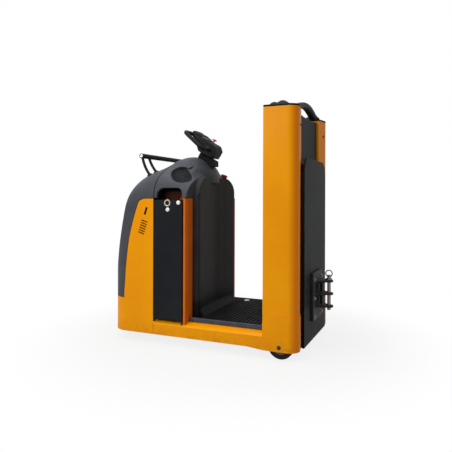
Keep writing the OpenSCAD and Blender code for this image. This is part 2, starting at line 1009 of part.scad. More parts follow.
module drive_motor() {
    color(black) translate([drive_x, 0, plate_z + drive_plate_t]) difference() {
        cylinder(r = motor_r, h = motor_h);
        translate([0, 0, -eps]) cylinder(r = king_r + motor_bore_gap, h = motor_bore_h);
    }
}

module drive_leg() {
    color(steel) {
        table_z = plate_z - table_gap - table_t;
        translate([drive_x, 0, table_z]) cylinder(r = table_r, h = table_t);
        translate([drive_x, 0, table_z + table_t - eps]) cylinder(r = king_r, h = drive_plate_t + king_up);
        translate([drive_x, drive_w / 2 + leg_gap, 0]) rotate([-90, 0, 0]) linear_extrude(leg_t) {
            translate([0, -drive_r]) circle(cheek_r);
            translate([-cheek_half, -table_z - table_t / 2])
                square([2 * cheek_half, table_z + table_t / 2 - drive_r]);
        }
        translate([drive_x, -drive_w / 2 + axle_in, drive_r]) rotate([-90, 0, 0])
            cylinder(r = drive_axle_r, h = drive_w + leg_gap);
    }
}

module drive_hub() {
    color(steel) translate([drive_x, -drive_w / 2, drive_r]) rotate([-90, 0, 0]) difference() {
        cylinder(r = drive_r - tyre_t, h = drive_w);
        translate([0, 0, hub_web]) cylinder(r = drive_axle_r + run, h = drive_w);
    }
}

module drive_tyre() {
    color(rubber) translate([drive_x, -drive_w / 2, drive_r]) rotate([-90, 0, 0])
        tread_ring(drive_r - tyre_t, drive_r, drive_w, tyre_edge);
}

module placed() {
    translate([-x_mid, 0, 0]) children();
}

placed() base_frame();
placed() front_panels();
placed() front_hood();
placed() top_cowl();
placed() console_dome();
placed() storage_bowls();
placed() corner_post_left();
placed() corner_post_right();
placed() bulkhead();
placed() battery();
placed() battery_door_left();
placed() battery_door_right();
placed() door_lock_left();
placed() door_lock_right();
placed() door_knobs_left();
placed() door_knobs_right();
placed() hinge_pins();
placed() platform_mat();
placed() edge_trims();
placed() foot_switch();
placed() grab_rail();
placed() steer_neck();
placed() steer_head();
placed() steer_display();
placed() horn_knob();
placed() stop_base();
placed() stop_button();
placed() column_left();
placed() column_right();
placed() foot_left();
placed() foot_right();
placed() column_caps();
placed() hand_bar();
placed() rear_housing();
placed() back_cushion();
placed() rear_plate();
placed() coupling();
placed() tow_pin();
placed() load_axles();
placed() load_wheel_left();
placed() load_wheel_right();
placed() drive_plate();
placed() drive_motor();
placed() drive_leg();
placed() drive_hub();
placed() drive_tyre();
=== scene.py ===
"""Looks of a stand-on electric tow tractor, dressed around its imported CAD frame.

X runs forward, Y to the left and Z up, in metres; the floor is z = 0. Tables are in millimetres,
measured forward from the back of the rear columns as in the CAD.
"""

import json
import math

import bmesh
import bpy
import numpy as np
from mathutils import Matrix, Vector

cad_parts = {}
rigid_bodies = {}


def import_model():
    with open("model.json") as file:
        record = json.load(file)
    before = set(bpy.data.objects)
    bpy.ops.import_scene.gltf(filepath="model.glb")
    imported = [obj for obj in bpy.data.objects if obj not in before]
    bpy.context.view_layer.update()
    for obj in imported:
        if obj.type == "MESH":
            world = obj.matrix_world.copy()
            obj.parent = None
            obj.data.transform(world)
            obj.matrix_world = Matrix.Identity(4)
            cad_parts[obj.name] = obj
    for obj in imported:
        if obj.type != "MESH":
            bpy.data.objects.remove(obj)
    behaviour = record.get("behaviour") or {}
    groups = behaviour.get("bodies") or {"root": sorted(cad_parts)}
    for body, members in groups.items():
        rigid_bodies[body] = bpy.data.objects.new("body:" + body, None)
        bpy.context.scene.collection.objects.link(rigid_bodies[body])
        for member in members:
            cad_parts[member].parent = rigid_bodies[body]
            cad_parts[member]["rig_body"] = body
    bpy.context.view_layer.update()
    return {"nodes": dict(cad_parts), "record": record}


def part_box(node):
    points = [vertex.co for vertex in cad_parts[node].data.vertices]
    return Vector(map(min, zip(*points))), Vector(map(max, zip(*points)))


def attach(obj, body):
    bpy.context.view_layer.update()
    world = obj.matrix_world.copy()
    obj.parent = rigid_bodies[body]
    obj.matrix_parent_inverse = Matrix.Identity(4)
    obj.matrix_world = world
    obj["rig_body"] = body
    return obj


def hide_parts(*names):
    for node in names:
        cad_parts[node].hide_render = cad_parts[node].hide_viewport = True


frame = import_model()
nodes = frame["nodes"]
slots = {row["node"]: row["material_slot"] for row in frame["record"]["subparts"]}
MM = 0.001
# The frame's origin, ahead of the back of the columns
AHEAD = 564
HANDS = ((1, "left"), (-1, "right"))


# Node trees


class Value:
    """A shader socket that works in Python arithmetic; each operation adds a Math node."""

    def __init__(self, tree, socket):
        self.tree = tree
        self.socket = socket

    def _math(self, operation, *terms):
        made = self.tree.node("ShaderNodeMath", {"operation": operation}, *terms)
        return Value(self.tree, made.outputs[0])

    def __add__(self, other):
        return self._math("ADD", self, other)

    def __radd__(self, other):
        return self._math("ADD", other, self)

    def __sub__(self, other):
        return self._math("SUBTRACT", self, other)

    def __rsub__(self, other):
        return self._math("SUBTRACT", other, self)

    def __mul__(self, other):
        return self._math("MULTIPLY", self, other)

    def __rmul__(self, other):
        return self._math("MULTIPLY", other, self)

    def root(self):
        return self._math("SQRT", self)

    def clamped(self):
        low = self._math("MAXIMUM", self, 0.0)
        return low._math("MINIMUM", low, 1.0)

    def ramp(self, start, end):
        """0 at start, 1 at end, smooth between; start may lie above end."""
        made = self.tree.node(
            "ShaderNodeMapRange", {"interpolation_type": "SMOOTHSTEP"}, self, start, end, 0.0, 1.0
        )
        return Value(self.tree, made.outputs[0])


class Tree:
    """A node tree written as calls."""

    def __init__(self, tree):
        self.tree = tree

    def node(self, kind, settings=None, *values, **named):
        """A node of that kind: its settings first, then its sockets in order or by name."""
        made = self.tree.nodes.new(kind)
        for key, value in (settings or {}).items():
            setattr(made, key, value)
        fills = list(enumerate(values)) + [(k.replace("_", " "), v) for k, v in named.items()]
        for key, value in fills:
            self.feed(made.inputs[key], value)
        return made

    def feed(self, socket, value):
        if isinstance(value, Value):
            value = value.socket
        if isinstance(value, bpy.types.NodeSocket):
            self.tree.links.new(value, socket)
        elif value is not None:
            socket.default_value = value


class Finish(Tree):
    """One procedural material."""

    def __init__(self, name, **constants):
        self.material = bpy.data.materials.new(name)
        self.material.use_nodes = True
        super().__init__(self.material.node_tree)
        self.shader = self.tree.nodes["Principled BSDF"]
        self.place = self.node("ShaderNodeTexCoord").outputs["Object"]
        for socket, value in constants.items():
            self.shader.inputs[socket.replace("_", " ")].default_value = value

    def along(self, axis):
        split = self.node("ShaderNodeSeparateXYZ", None, self.place)
        return Value(self, split.outputs["XYZ".index(axis)])

    def noise(self, size, detail=2.0, rough=0.5, stretch=(1, 1, 1)):
        """Cloudy noise, with blobs about size metres across."""
        spot = self.place
        if stretch != (1, 1, 1):
            spot = self.node("ShaderNodeMapping", None, self.place, Scale=stretch).outputs[0]
        made = self.node(
            "ShaderNodeTexNoise", None, spot, Scale=1 / size, Detail=detail, Roughness=rough
        )
        return Value(self, made.outputs[0])

    def cells(self, size, feature="F1"):
        made = self.node("ShaderNodeTexVoronoi", {"feature": feature}, self.place, Scale=1 / size)
        return Value(self, made.outputs[0])

    def attribute(self, name):
        made = self.node("ShaderNodeAttribute", {"attribute_name": name})
        return Value(self, made.outputs["Fac"])

    def mix(self, share, first, second):
        """A colour between two colours."""
        made = self.node("ShaderNodeMix", {"data_type": "RGBA"})
        self.feed(made.inputs[0], share)
        for socket, colour in ((made.inputs[6], first), (made.inputs[7], second)):
            self.feed(socket, (*colour, 1) if isinstance(colour, tuple) else colour)
        return made.outputs[2]

    def clouded(self, cloud, dark, light):
        """A colour that drifts with the clouds between two colours as they look on a screen."""
        return self.mix(cloud.ramp(0.3, 0.7), linear(dark), linear(light))

    def bump(self, height, depth, strength):
        """A relief whose heights run over depth metres."""
        made = self.node("ShaderNodeBump", None, Strength=strength, Distance=depth, Height=height)
        self.feed(self.shader.inputs["Normal"], made.outputs[0])

    def set(self, socket, value):
        self.feed(self.shader.inputs[socket.replace("_", " ")], value)


class Pattern(Tree):
    """A Geometry Nodes tree with named sizes that repeats one shape on points."""

    def __init__(self, name, **sizes):
        super().__init__(bpy.data.node_groups.new(name, "GeometryNodeTree"))
        face = self.tree.interface
        face.new_socket("Points", in_out="INPUT", socket_type="NodeSocketGeometry")
        self.sizes = {}
        for label, value in sizes.items():
            made = face.new_socket(label, in_out="INPUT", socket_type="NodeSocketFloat")
            self.sizes[made.identifier] = value
        face.new_socket("Shape", in_out="OUTPUT", socket_type="NodeSocketGeometry")
        self.start = self.tree.nodes.new("NodeGroupInput")
        self.end = self.tree.nodes.new("NodeGroupOutput")

    def size(self, label):
        return Value(self, self.start.outputs[label])

    def lifted(self, shape, height):
        rise = self.node("ShaderNodeCombineXYZ", None, Z=height).outputs[0]
        return self.node("GeometryNodeTransform", None, shape, Translation=rise).outputs[0]

    def joined(self, *shapes):
        made = self.tree.nodes.new("GeometryNodeJoinGeometry")
        for shape in shapes:
            self.tree.links.new(shape, made.inputs[0])
        return made.outputs[0]

    def repeat(self, shape):
        """Sets the shape on every point, with its own z along the point's aim."""
        aim = self.node(
            "GeometryNodeInputNamedAttribute", {"data_type": "FLOAT_VECTOR"}, "aim"
        ).outputs[0]
        turn = self.node("FunctionNodeAlignRotationToVector", {"axis": "Z"}, Vector=aim).outputs[0]
        spread = self.node(
            "GeometryNodeInstanceOnPoints", None, self.start.outputs["Points"], None, shape, Rotation=turn
        ).outputs[0]
        solid = self.node("GeometryNodeRealizeInstances", None, spread).outputs[0]
        self.paint = self.node("GeometryNodeSetMaterial", None, solid)
        self.tree.links.new(self.paint.outputs[0], self.end.inputs[0])

    def make(self, name, points, aims, finish):
        """The finished pattern as a plain mesh."""
        self.paint.inputs["Material"].default_value = finish
        mesh = mesh_of(name, points, [])
        layer = mesh.attributes.new("aim", "FLOAT_VECTOR", "POINT")
        layer.data.foreach_set("vector", np.ravel(np.asarray(aims, float)))
        host = shown(name, mesh)
        step = host.modifiers.new("pattern", "NODES")
        step.node_group = self.tree
        for identifier, value in self.sizes.items():
            step[identifier] = value
        return baked(host)


def linear(hex_colour):
    """A colour as it looks on a screen, as the linear numbers that a shader takes."""
    parts = [int(hex_colour[i : i + 2], 16) / 255 for i in (1, 3, 5)]
    return tuple(p / 12.92 if p <= 0.04045 else ((p + 0.055) / 1.055) ** 2.4 for p in parts)


# Finishes

# Places in the shared frame, in metres
BACK_SHADE_FADE = (-0.516, -0.556)  # along X: painted shade turns the columns' rear faces a deeper orange
DUST_FADE = (0.16, 0.05)  # along Z: floor dust settles on the enamel
PLATE_SHADE_FADE = (1.0, 0.3)  # along Z: painted shade darkens the powder coat toward the floor
FOOT_FADE = (0.30, 0.24)  # along Z: the bulkhead's foot falls into shade
CAP_GRIP_RISE = (1.4535, 1.4570)  # along Z: the grips stand up from the column caps
HUB_EDGE = (0.047, 0.045)  # from the rear axle: the tread ends and the hub begins
PANEL_LINES, LINE_HALF = (0.062, 0.161), 0.007  # from the middle: the bulkhead's panel lines

# Colours as they look on a screen
# The bright edge is a painted highlight on the enamel's rounded edges
PAINTED_EDGE_HIGHLIGHT, FLOOR_DUST = "#fdb83a", "#8a5d24"
# The pale edge is wear on the mouldings' rounded edges with a painted highlight
PALE_EDGE_WEAR_AND_HIGHLIGHT, RUBBED_EDGE, STEEL_STAIN = "#5c5f64", "#4c4f53", "#6b6660"
# Deep shade on mouldings and on powder coat, in linear numbers
MOULDING_SHADE, COAT_SHADE = (0.004, 0.0045, 0.006), (0.004, 0.0045, 0.005)
# How drawn lines in metal are squeezed along each axis
DRAWN = (1, 1, 12)


def enamel(name, deep, bright, back=None):
    """Yellow-orange enamel with a faint orange peel, dusty near the floor; back is a deeper orange painted
    as shade on the rear faces.
    """
    f = Finish(name, Coat_Roughness=0.16, IOR=1.5, Specular_IOR_Level=0.05)
    cloud = f.noise(0.35, 3)
    dust = f.along("Z").ramp(*DUST_FADE) * f.noise(0.05, 5, 0.65).ramp(0.42, 0.64) * 0.25
    paint = f.mix(cloud.ramp(0.35, 0.65), linear(deep), linear(bright))
    # painted shade: the rear faces turn the deeper orange back
    if back:
        paint = f.mix(f.along("X").ramp(*BACK_SHADE_FADE) * 0.85, paint, linear(back))
    # painted highlight along the rounded edges
    paint = f.mix(f.attribute("rim") * 0.8, paint, linear(PAINTED_EDGE_HIGHLIGHT))
    f.set("Base_Color", f.mix(dust, paint, linear(FLOOR_DUST)))
    f.set("Roughness", 0.36 + cloud * 0.06 + dust * 0.5)
    f.set("Coat_Weight", 0.07 - dust * 0.2)
    f.bump(f.noise(0.004, 1), 0.0001, 0.3)
    return f.material


def moulding(name, dark, light, grain, gloss, shine=0.07, shade=None):
    """Grained plastic, paler along its edges with wear and a painted highlight; shade gives a share of
    black.
    """
    f = Finish(name, IOR=1.46, Specular_IOR_Level=shine)
    cloud = f.noise(0.18, 4)
    leather = f.cells(grain).ramp(0.1, 0.7)
    colour = f.mix(leather * 0.10, f.clouded(cloud, dark, light), linear(dark))
    # wear and a painted highlight along the rounded edges
    colour = f.mix(f.attribute("rim") * 0.25, colour, linear(PALE_EDGE_WEAR_AND_HIGHLIGHT))
    if shade:
        colour = f.mix(shade(f), colour, MOULDING_SHADE)
    f.set("Base_Color", colour)
    f.set("Roughness", gloss + cloud * 0.10 + leather * 0.06)
    f.bump(leather + f.noise(grain * 2, 3) * 0.5, 0.0002, 0.35)
    return f.material


def coat(name, dark, light, low=0.0):
    """Satin powder coat with its fine texture and rubbed edges; low is a share of painted shade that darkens
    it toward the floor.
    """
    f = Finish(name, IOR=1.5, Specular_IOR_Level=0.025)
    cloud = f.noise(0.25, 4)
    rub = f.attribute("rim") * f.noise(0.03, 4).ramp(0.42, 0.66)
    # painted shade toward the floor, by the share low
    colour = f.mix(f.along("Z").ramp(*PLATE_SHADE_FADE) * low, f.clouded(cloud, dark, light), COAT_SHADE)
    f.set("Base_Color", f.mix(rub * 0.3, colour, linear(RUBBED_EDGE)))
    f.set("Roughness", 0.44 + cloud * 0.12)
    f.bump(f.noise(0.0018, 2), 0.00012, 0.4)
    return f.material


def cap_lid():
    """Black cap with the grey raised grips on its top."""
    f = Finish("cap_grain", IOR=1.46, Specular_IOR_Level=0.03)
    cloud = f.noise(0.08, 4)
    leather = f.cells(0.0016).ramp(0.1, 0.7)
    black = f.clouded(cloud, "#1a1b1d", "#222326")
    grey = f.clouded(cloud, "#3d4248", "#464b51")
    f.set("Base_Color", f.mix(f.along("Z").ramp(*CAP_GRIP_RISE), black, grey))
    f.set("Roughness", 0.42 + cloud * 0.10 + leather * 0.06)
    f.bump(leather, 0.0002, 0.35)
    return f.material


def metal(name, colour, rough):
    """Plated or machined steel with fine drawn lines."""
    f = Finish(name, Metallic=1.0)
    lines = f.noise(0.004, 4, 0.6, DRAWN)
    stain = f.noise(0.03, 4).ramp(0.45, 0.75)
    f.set("Base_Color", f.mix(stain * 0.4, linear(colour), linear(STEEL_STAIN)))
    f.set("Roughness", rough + lines * 0.12 + stain * 0.1)
    f.bump(lines, 0.00008, 0.4)
    return f.material


def gloss(name, dark, light, shine=0.5):
    """Shiny coloured plastic."""
    f = Finish(name, IOR=1.5, Coat_Roughness=0.08, Specular_IOR_Level=shine)
    cloud = f.noise(0.02, 3)
    f.set("Base_Color", f.clouded(cloud, dark, light))
    f.set("Roughness", 0.22 + cloud * 0.12)
    f.set("Coat_Weight", shine * (0.6 + cloud * 0.2))
    f.bump(f.noise(0.003, 2), 0.00005, 0.3)
    return f.material


def rubber(name, dark, light):
    """Matt rubber with a dusty bloom in its hollows."""
    f = Finish(name, IOR=1.45, Specular_IOR_Level=0.06)
    bloom = f.noise(0.06, 5, 0.6).ramp(0.40, 0.72)
    f.set("Base_Color", f.mix(bloom * 0.6 + f.attribute("rim") * 0.2, linear(dark), linear(light)))
    f.set("Roughness", 0.62 + bloom * 0.2)
    f.bump(f.noise(0.0025, 2), 0.0002, 0.5)
    return f.material


def wheel_rubber():
    """Dark moulded tread on a grey hub, told apart by the distance from the rear axle."""
    f = Finish("rear_wheel", IOR=1.45, Specular_IOR_Level=0.12)
    ahead = f.along("X") - (LOAD_X - AHEAD) * MM
    rise = f.along("Z") - LOAD_R * MM
    reach = (ahead * ahead + rise * rise).root()
    scuff = f.noise(0.03, 5, 0.6).ramp(0.42, 0.7)
    tread = f.mix(scuff * 0.6, linear("#211a18"), linear("#3a302b"))
    f.set("Base_Color", f.mix(reach.ramp(*HUB_EDGE), tread, linear("#6a6a6c")))
    f.set("Roughness", 0.55 + scuff * 0.2)
    f.bump(f.noise(0.002, 3), 0.0002, 0.5)
    return f.material


def vinyl():
    """Padded vinyl with a leather grain."""
    f = Finish("cushion_vinyl", IOR=1.46, Specular_IOR_Level=0.2)
    pebble = f.cells(0.0032, "SMOOTH_F1").ramp(0.05, 0.55)
    cloud = f.noise(0.09, 4)
    f.set("Base_Color", f.clouded(cloud, "#202023", "#2a2a2d"))
    f.set("Roughness", 0.42 + cloud * 0.12 + pebble * 0.10)
    f.bump(pebble, 0.00035, 0.6)
    return f.material


def cast():
    """Dark painted castings with a sandy skin."""
    f = Finish("dark_casting", IOR=1.5, Specular_IOR_Level=0.1)
    cloud = f.noise(0.05, 4)
    f.set("Base_Color", f.clouded(cloud, "#27282a", "#353638"))
    f.set("Roughness", 0.55 + cloud * 0.15)
    f.bump(f.noise(0.0022, 3), 0.0004, 0.6)
    return f.material


def bulkhead_painted_shade(f):
    """Painted shade in the panel grooves down the bulkhead and over its foot."""
    out = (f.along("Y") * f.along("Y")).root()
    # painted shade in the grooves
    lines = 0.0
    for place in PANEL_LINES:
        lines = lines + out.ramp(place - LINE_HALF, place) * out.ramp(place + LINE_HALF, place)
    return (lines * 0.6 + f.along("Z").ramp(*FOOT_FADE) * 0.85).clamped()


# Sizes that the looks share with the CAD

HALF_W, FRONT_X, WALL_X, SKIRT_Z = 400, 1252, 700, 60
SHEET = 5
NOSE_R, SHOULDER_H, SEAM_X, PANEL_TOP, BAND_Z = 120, 220, 926, 914, 275
TOP_LINE = [
    (0, 300), (4, 415), (16, 566), (40, 711), (68, 836), (90, 930), (112, 1014), (142, 1056),
    (190, 1090), (250, 1114), (310, 1122), (362, 1116), (442, 1094), (552, 1064),
]
PANEL_EDGE = [
    (111, 275), (114, 409), (132, 581), (150, 687), (181, 799), (212, 885), (232, 906), (262, 914),
]
SECTION_POWER = 2.6
VENT_X, VENT_Z, VENT_COUNT, VENT_PITCH, VENT_LEN, VENT_H, VENT_TILT = 1016, 694, 6, 15, 48, 8, 18
SLOT_X, SLOT_Z, SLOT_W, SLOT_H = 983, 834, 15, 50
DOME_AT, DOME_R = (840, 0, 1040), (166, 232, 160)
# The storage pocket runs from the bowl up into the flank of the dome, with a notch beside it
POCKET_LOBES = [
    ((768, 318, 1080), (82, 84, 66)), ((786, 294, 1089), (77, 74, 62)), ((803, 269, 1096), (66, 61, 57)),
]
BOWL_WALL = 5
NOTCH_LINE = [(775, 205, 1100), (751, 152, 1140)]
ARCH_X, ARCH_TOP, ARCH_R = (732, 904), 979, 46
LOCK_AT = (825, 886)
DOOR_CAPS_AT, DOOR_CAP_R = [(822, 845), (747, 888)], 13
DECK_HALF, SILL_TOP, TRIM_T, MAT_T, MAT_RIB = 352, 150, 17, 22, 5
MAT_X, RIB_PITCH = (203, 627), 25
SWITCH_AT, SWITCH_GAP = (545, -250), 26
COL_TOP, CAP_T, FLANGE_Z = 1440, 12, (54, 248)
BAR_X, BAR_TOP, BAR_BOW = 56, 1498, 493
HOUSE_X, PAD_T, PAD_HALF, PAD_Z, PAD_R = 190, 46, 218, (902, 1402), 36
LOAD_X, LOAD_R, LOAD_Y, LOAD_W, LOAD_BORE = 102, 75, 344, 62, 12.3
RAIL_X, RAIL_Z, RAIL_END, RAIL_R = 1090, 1196, 289, 16
LEG_YS, LEG_X, LEG_BOW, LEG_R = (275, 195), 1032, 260, 9

ENAMEL = enamel("yellow_enamel", "#e08e00", "#e69500")
# Painted shade on the rear faces of the columns and their feet
COLUMN_WITH_PAINTED_SHADE = enamel("column_enamel", "#e08e00", "#e69500", "#dc7600")
# Painted shade: the corner posts take a darker, redder enamel for the deep shade they stand in
POST_PAINTED_SHADE = enamel("post_enamel", "#c26014", "#cb6618")
HOOD = moulding("hood_grain", "#3b3e43", "#44464b", 0.0016, 0.42, 0.10)
BLACK = moulding("black_grain", "#111113", "#17171a", 0.0018, 0.48)
# Painted shade in the bulkhead's grooves and over its foot
WALL = moulding("bulkhead_grain", "#29292a", "#323233", 0.0020, 0.50, 0.06, bulkhead_painted_shade)
GRIP = moulding("grip_grain", "#18181a", "#222224", 0.0014, 0.48, 0.10)
DOOR = coat("door_coat", "#1d1f22", "#222427")
# Painted shade: the plates darken toward the floor
PLATE = coat("plate_coat", "#191b1c", "#212223", 0.8)
TUBE = coat("rail_coat", "#242526", "#2f3032")
CASE = moulding("battery_grain", "#33221d", "#442d25", 0.003, 0.55)
ZINC = metal("zinc_plate", "#b9b9b6", 0.30)
DARK_STEEL = metal("dark_steel", "#3a3632", 0.42)
DULL_STEEL = metal("dull_steel", "#7b7772", 0.46)
CHROME = metal("lock_plate", "#b4ae9c", 0.18)
WHITE = gloss("white_caps", "#dddbd6", "#eae8e4")
RED = gloss("red_knobs", "#9c1212", "#b01a1a", 0.3)
SCREEN = moulding("display_cover", "#2f373c", "#394247", 0.0012, 0.50, 0.04)
LINER = rubber("liner_rubber", "#381a14", "#48221a")
MAT = rubber("mat_rubber", "#161617", "#202021")
TRIM = rubber("trim_rubber", "#42444d", "#52545d")
TREAD = rubber("drive_tread", "#211b19", "#38302c")
WHEEL = wheel_rubber()
CAP = cap_lid()
VINYL = vinyl()
CASTING = cast()


# Meshes

# Points nearer than these are one: in forms made here, in slivers and in the CAD's triangles
TOUCH, SLIVER, MERGE = 0.001 * MM, 0.0001 * MM, 0.02 * MM


def framed(points):
    """Points in millimetres from the back of the columns, as metres in the shared frame."""
    return (np.asarray(points, float).reshape(-1, 3) - (AHEAD, 0, 0)) * MM


def measured(points):
    """The x, y and z of points of the shared frame, in millimetres from the back of the columns."""
    return (points / MM + (AHEAD, 0, 0)).T


def between(value, start, end):
    """0 up to start, 1 from end on, and even between."""
    return np.clip((value - start) / (end - start), 0, 1)


def mesh_of(name, points, faces):
    """A mesh from points in millimetres."""
    mesh = bpy.data.meshes.new(name)
    mesh.from_pydata([tuple(p) for p in framed(points)], [], faces)
    mesh.update()
    return mesh


def tidy(mesh):
    """Closes seams and poles and turns the faces outwards."""
    bm = bmesh.new()
    bm.from_mesh(mesh)
    bmesh.ops.remove_doubles(bm, verts=bm.verts, dist=TOUCH)
    bmesh.ops.dissolve_degenerate(bm, edges=bm.edges, dist=SLIVER)
    bmesh.ops.recalc_face_normals(bm, faces=bm.faces)
    bm.to_mesh(mesh)
    bm.free()
    return mesh


def face_out(mesh, middle):
    """Turns the faces of an open skin away from a point inside it."""
    bm = bmesh.new()
    bm.from_mesh(mesh)
    bmesh.ops.recalc_face_normals(bm, faces=bm.faces)
    heart = Vector(framed(middle)[0])
    lean = sum((f.calc_center_median() - heart).dot(f.normal) * f.calc_area() for f in bm.faces)
    if lean < 0:
        bmesh.ops.reverse_faces(bm, faces=bm.faces)
    bm.to_mesh(mesh)
    bm.free()
    return mesh


def loft(name, rows, wrap=False, caps=(False, False)):
    """A skin over rows of points; wrap closes each row and caps close the ends."""
    rows = np.asarray(rows, float)
    count, width = rows.shape[:2]
    spans = width if wrap else width - 1
    faces = [
        (r * width + c, r * width + (c + 1) % width, (r + 1) * width + (c + 1) % width, (r + 1) * width + c)
        for r in range(count - 1)
        for c in range(spans)
    ]
    if caps[0]:
        faces.append(tuple(range(width)))
    if caps[1]:
        faces.append(tuple((count - 1) * width + c for c in range(width)))
    return mesh_of(name, rows.reshape(-1, 3), faces)


def closed(name, rows):
    """A closed form over rings of points."""
    return tidy(loft(name, rows, True, (True, True)))


def lathe(name, profile, foot, aim, steps=56, ring=False):
    """A turned form: radius and height pairs up an axis; ring joins the last pair to the first."""
    axis = Vector(aim).normalized()
    side = axis.orthogonal().normalized()
    up = axis.cross(side)
    turn = np.linspace(0, 2 * math.pi, steps, endpoint=False)
    round_it = np.outer(np.cos(turn), side) + np.outer(np.sin(turn), up)
    rows = [np.array(foot) + r * round_it + h * np.array(axis) for r, h in profile]
    if ring:
        return tidy(loft(name, rows + rows[:1], True))
    return closed(name, rows)


def sweep(name, path, side, half_w, half_h, steps=28, power=1.0):
    """A bar along a flat path; side is the way across it, half_w and half_h its half sizes."""
    path = np.asarray(path, float)
    ahead = np.gradient(path, axis=0)
    ahead /= np.linalg.norm(ahead, axis=1)[:, None]
    across = np.tile(np.asarray(side, float), (len(path), 1))
    through = np.cross(ahead, across)
    turn = np.linspace(0, 2 * math.pi, steps, endpoint=False)
    c = np.sign(np.cos(turn)) * np.abs(np.cos(turn)) ** power
    s = np.sign(np.sin(turn)) * np.abs(np.sin(turn)) ** power
    wide = np.broadcast_to(half_w, len(path))[:, None] * c
    deep = np.broadcast_to(half_h, len(path))[:, None] * s
    rows = path[:, None] + wide[:, :, None] * across[:, None] + deep[:, :, None] * through[:, None]
    return closed(name, rows)


def ellipsoid(name, middle, radii, low=-90, steps=72):
    """An ellipsoid, or its upper part from a latitude in degrees."""
    turn = np.linspace(0, 2 * math.pi, steps, endpoint=False)
    rows = []
    for lift in np.radians(np.linspace(low, 90, 41)):
        flat = np.cos(lift)
        ring = np.c_[flat * np.cos(turn), flat * np.sin(turn), np.full(steps, np.sin(lift))]
        rows.append(np.array(middle) + ring * radii)
    return tidy(loft(name, rows, True, (low > -90, False)))


def slab(name, outline, axis, start, end):
    """An outline of two coordinates drawn out along the third axis."""
    rows = []
    for reach in (start, end):
        rows.append([np.insert(p, "xyz".index(axis), reach) for p in np.asarray(outline, float)])
    return closed(name, rows)


def round_outline(x0, y0, x1, y1, r, steps=10):
    """A rectangle with rounded corners."""
    points = []
    corners = [(x1 - r, y1 - r, 0), (x0 + r, y1 - r, 90), (x0 + r, y0 + r, 180), (x1 - r, y0 + r, 270)]
    for cx, cy, first in corners:
        for turn in np.radians(np.linspace(first, first + 90, steps)):
            points.append((cx + r * math.cos(turn), cy + r * math.sin(turn)))
    return points


def smooth_line(rows, steps):
    """The smooth curve through a table's rows that the CAD draws."""
    table = np.asarray(rows, float)
    padded = np.vstack([table[:1], table, table[-1:]])
    made = []
    for a, b, c, d in zip(padded[:-3], padded[1:-2], padded[2:-1], padded[3:]):
        for u in np.arange(steps) / steps:
            bend = (2 * a - 5 * b + 4 * c - d) * u**2 + (3 * b - a - 3 * c + d) * u**3
            made.append(0.5 * (2 * b + (c - a) * u + bend))
    return np.array(made + [table[-1]])


def spread(line, count):
    """Evenly spaced points along a line."""
    line = np.asarray(line, float)
    gone = np.r_[0, np.cumsum(np.linalg.norm(np.diff(line, axis=0), axis=1))]
    return np.c_[tuple(np.interp(np.linspace(0, gone[-1], count), gone, axis) for axis in line.T)]


def shown(name, data):
    """A new object of the scene, at the origin."""
    made = bpy.data.objects.new(name, data)
    bpy.context.scene.collection.objects.link(made)
    return made


def baked(made, tools=()):
    """The plain mesh of an object with its modifiers, in place of the object and its tools."""
    graph = bpy.context.evaluated_depsgraph_get()
    mesh = bpy.data.meshes.new_from_object(made.evaluated_get(graph))
    for spent in (made, *tools):
        bpy.data.objects.remove(spent)
    return mesh


def add_cut(made, operation, mesh):
    """Joins another mesh to an object, or cuts or trims it; returns the tool that this takes."""
    tool = shown("tool", mesh)
    cut = made.modifiers.new("cut", "BOOLEAN")
    cut.operation = operation
    cut.solver = "EXACT"
    cut.object = tool
    return tool


def carved(mesh, *steps):
    """A mesh after joining or cutting: pairs of an operation and the other mesh."""
    made = shown("carved", mesh)
    return baked(made, [add_cut(made, operation, tool) for operation, tool in steps])


def remeshed(mesh, voxel):
    """The same form in even quads of a size in millimetres, as one closed skin."""
    made = shown("remeshed", mesh)
    step = made.modifiers.new("even", "REMESH")
    step.mode = "VOXEL"
    step.voxel_size = voxel * MM
    return baked(made)


def coordinates(mesh):
    """The points of a mesh, in metres."""
    points = np.empty(len(mesh.vertices) * 3)
    mesh.vertices.foreach_get("co", points)
    return points.reshape(-1, 3)


def placed(mesh, points):
    """The same mesh with its points at new places."""
    mesh.vertices.foreach_set("co", points.ravel())
    mesh.update()
    return mesh


def softened(mesh, voxel, rounds):
    """A form in even quads; in each round a point goes half way to its neighbours' middle."""
    mesh = remeshed(mesh, voxel)
    points = coordinates(mesh)
    ends = np.empty(len(mesh.edges) * 2, int)
    mesh.edges.foreach_get("vertices", ends)
    a, b = ends.reshape(-1, 2).T
    both, other = np.r_[a, b], np.r_[b, a]
    count = np.maximum(np.bincount(both, minlength=len(points)), 1)
    for _ in range(rounds):
        for axis in range(3):
            total = np.bincount(both, points[other, axis], len(points))
            points[:, axis] += 0.5 * (total / count - points[:, axis])
    return placed(mesh, points)


def merged_copy(node):
    """A copy of a CAD node's mesh with its triangles joined."""
    mesh = nodes[node].data.copy()
    bm = bmesh.new()
    bm.from_mesh(mesh)
    bmesh.ops.remove_doubles(bm, verts=bm.verts, dist=MERGE)
    bm.to_mesh(mesh)
    bm.free()
    return mesh


def join_meshes(name, meshes):
    """Several meshes as one."""
    both = bmesh.new()
    for mesh in meshes:
        both.from_mesh(mesh)
    made = bpy.data.meshes.new(name)
    both.to_mesh(made)
    both.free()
    return made


# Pieces


def new_piece(name, mesh, body, finish, slot, crease, *stands_for):
    """A piece on a body, shaded smooth with sharp edges past the crease in degrees."""
    piece = shown(name, mesh)
    mesh.materials.clear()
    mesh.materials.append(finish)
    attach(piece, body)
    if stands_for:
        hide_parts(*stands_for)
    mesh.shade_smooth()
    mesh.set_sharp_from_angle(angle=math.radians(crease))
    lean = piece.modifiers.new("lean", "WEIGHTED_NORMAL")
    lean.keep_sharp = True
    return piece


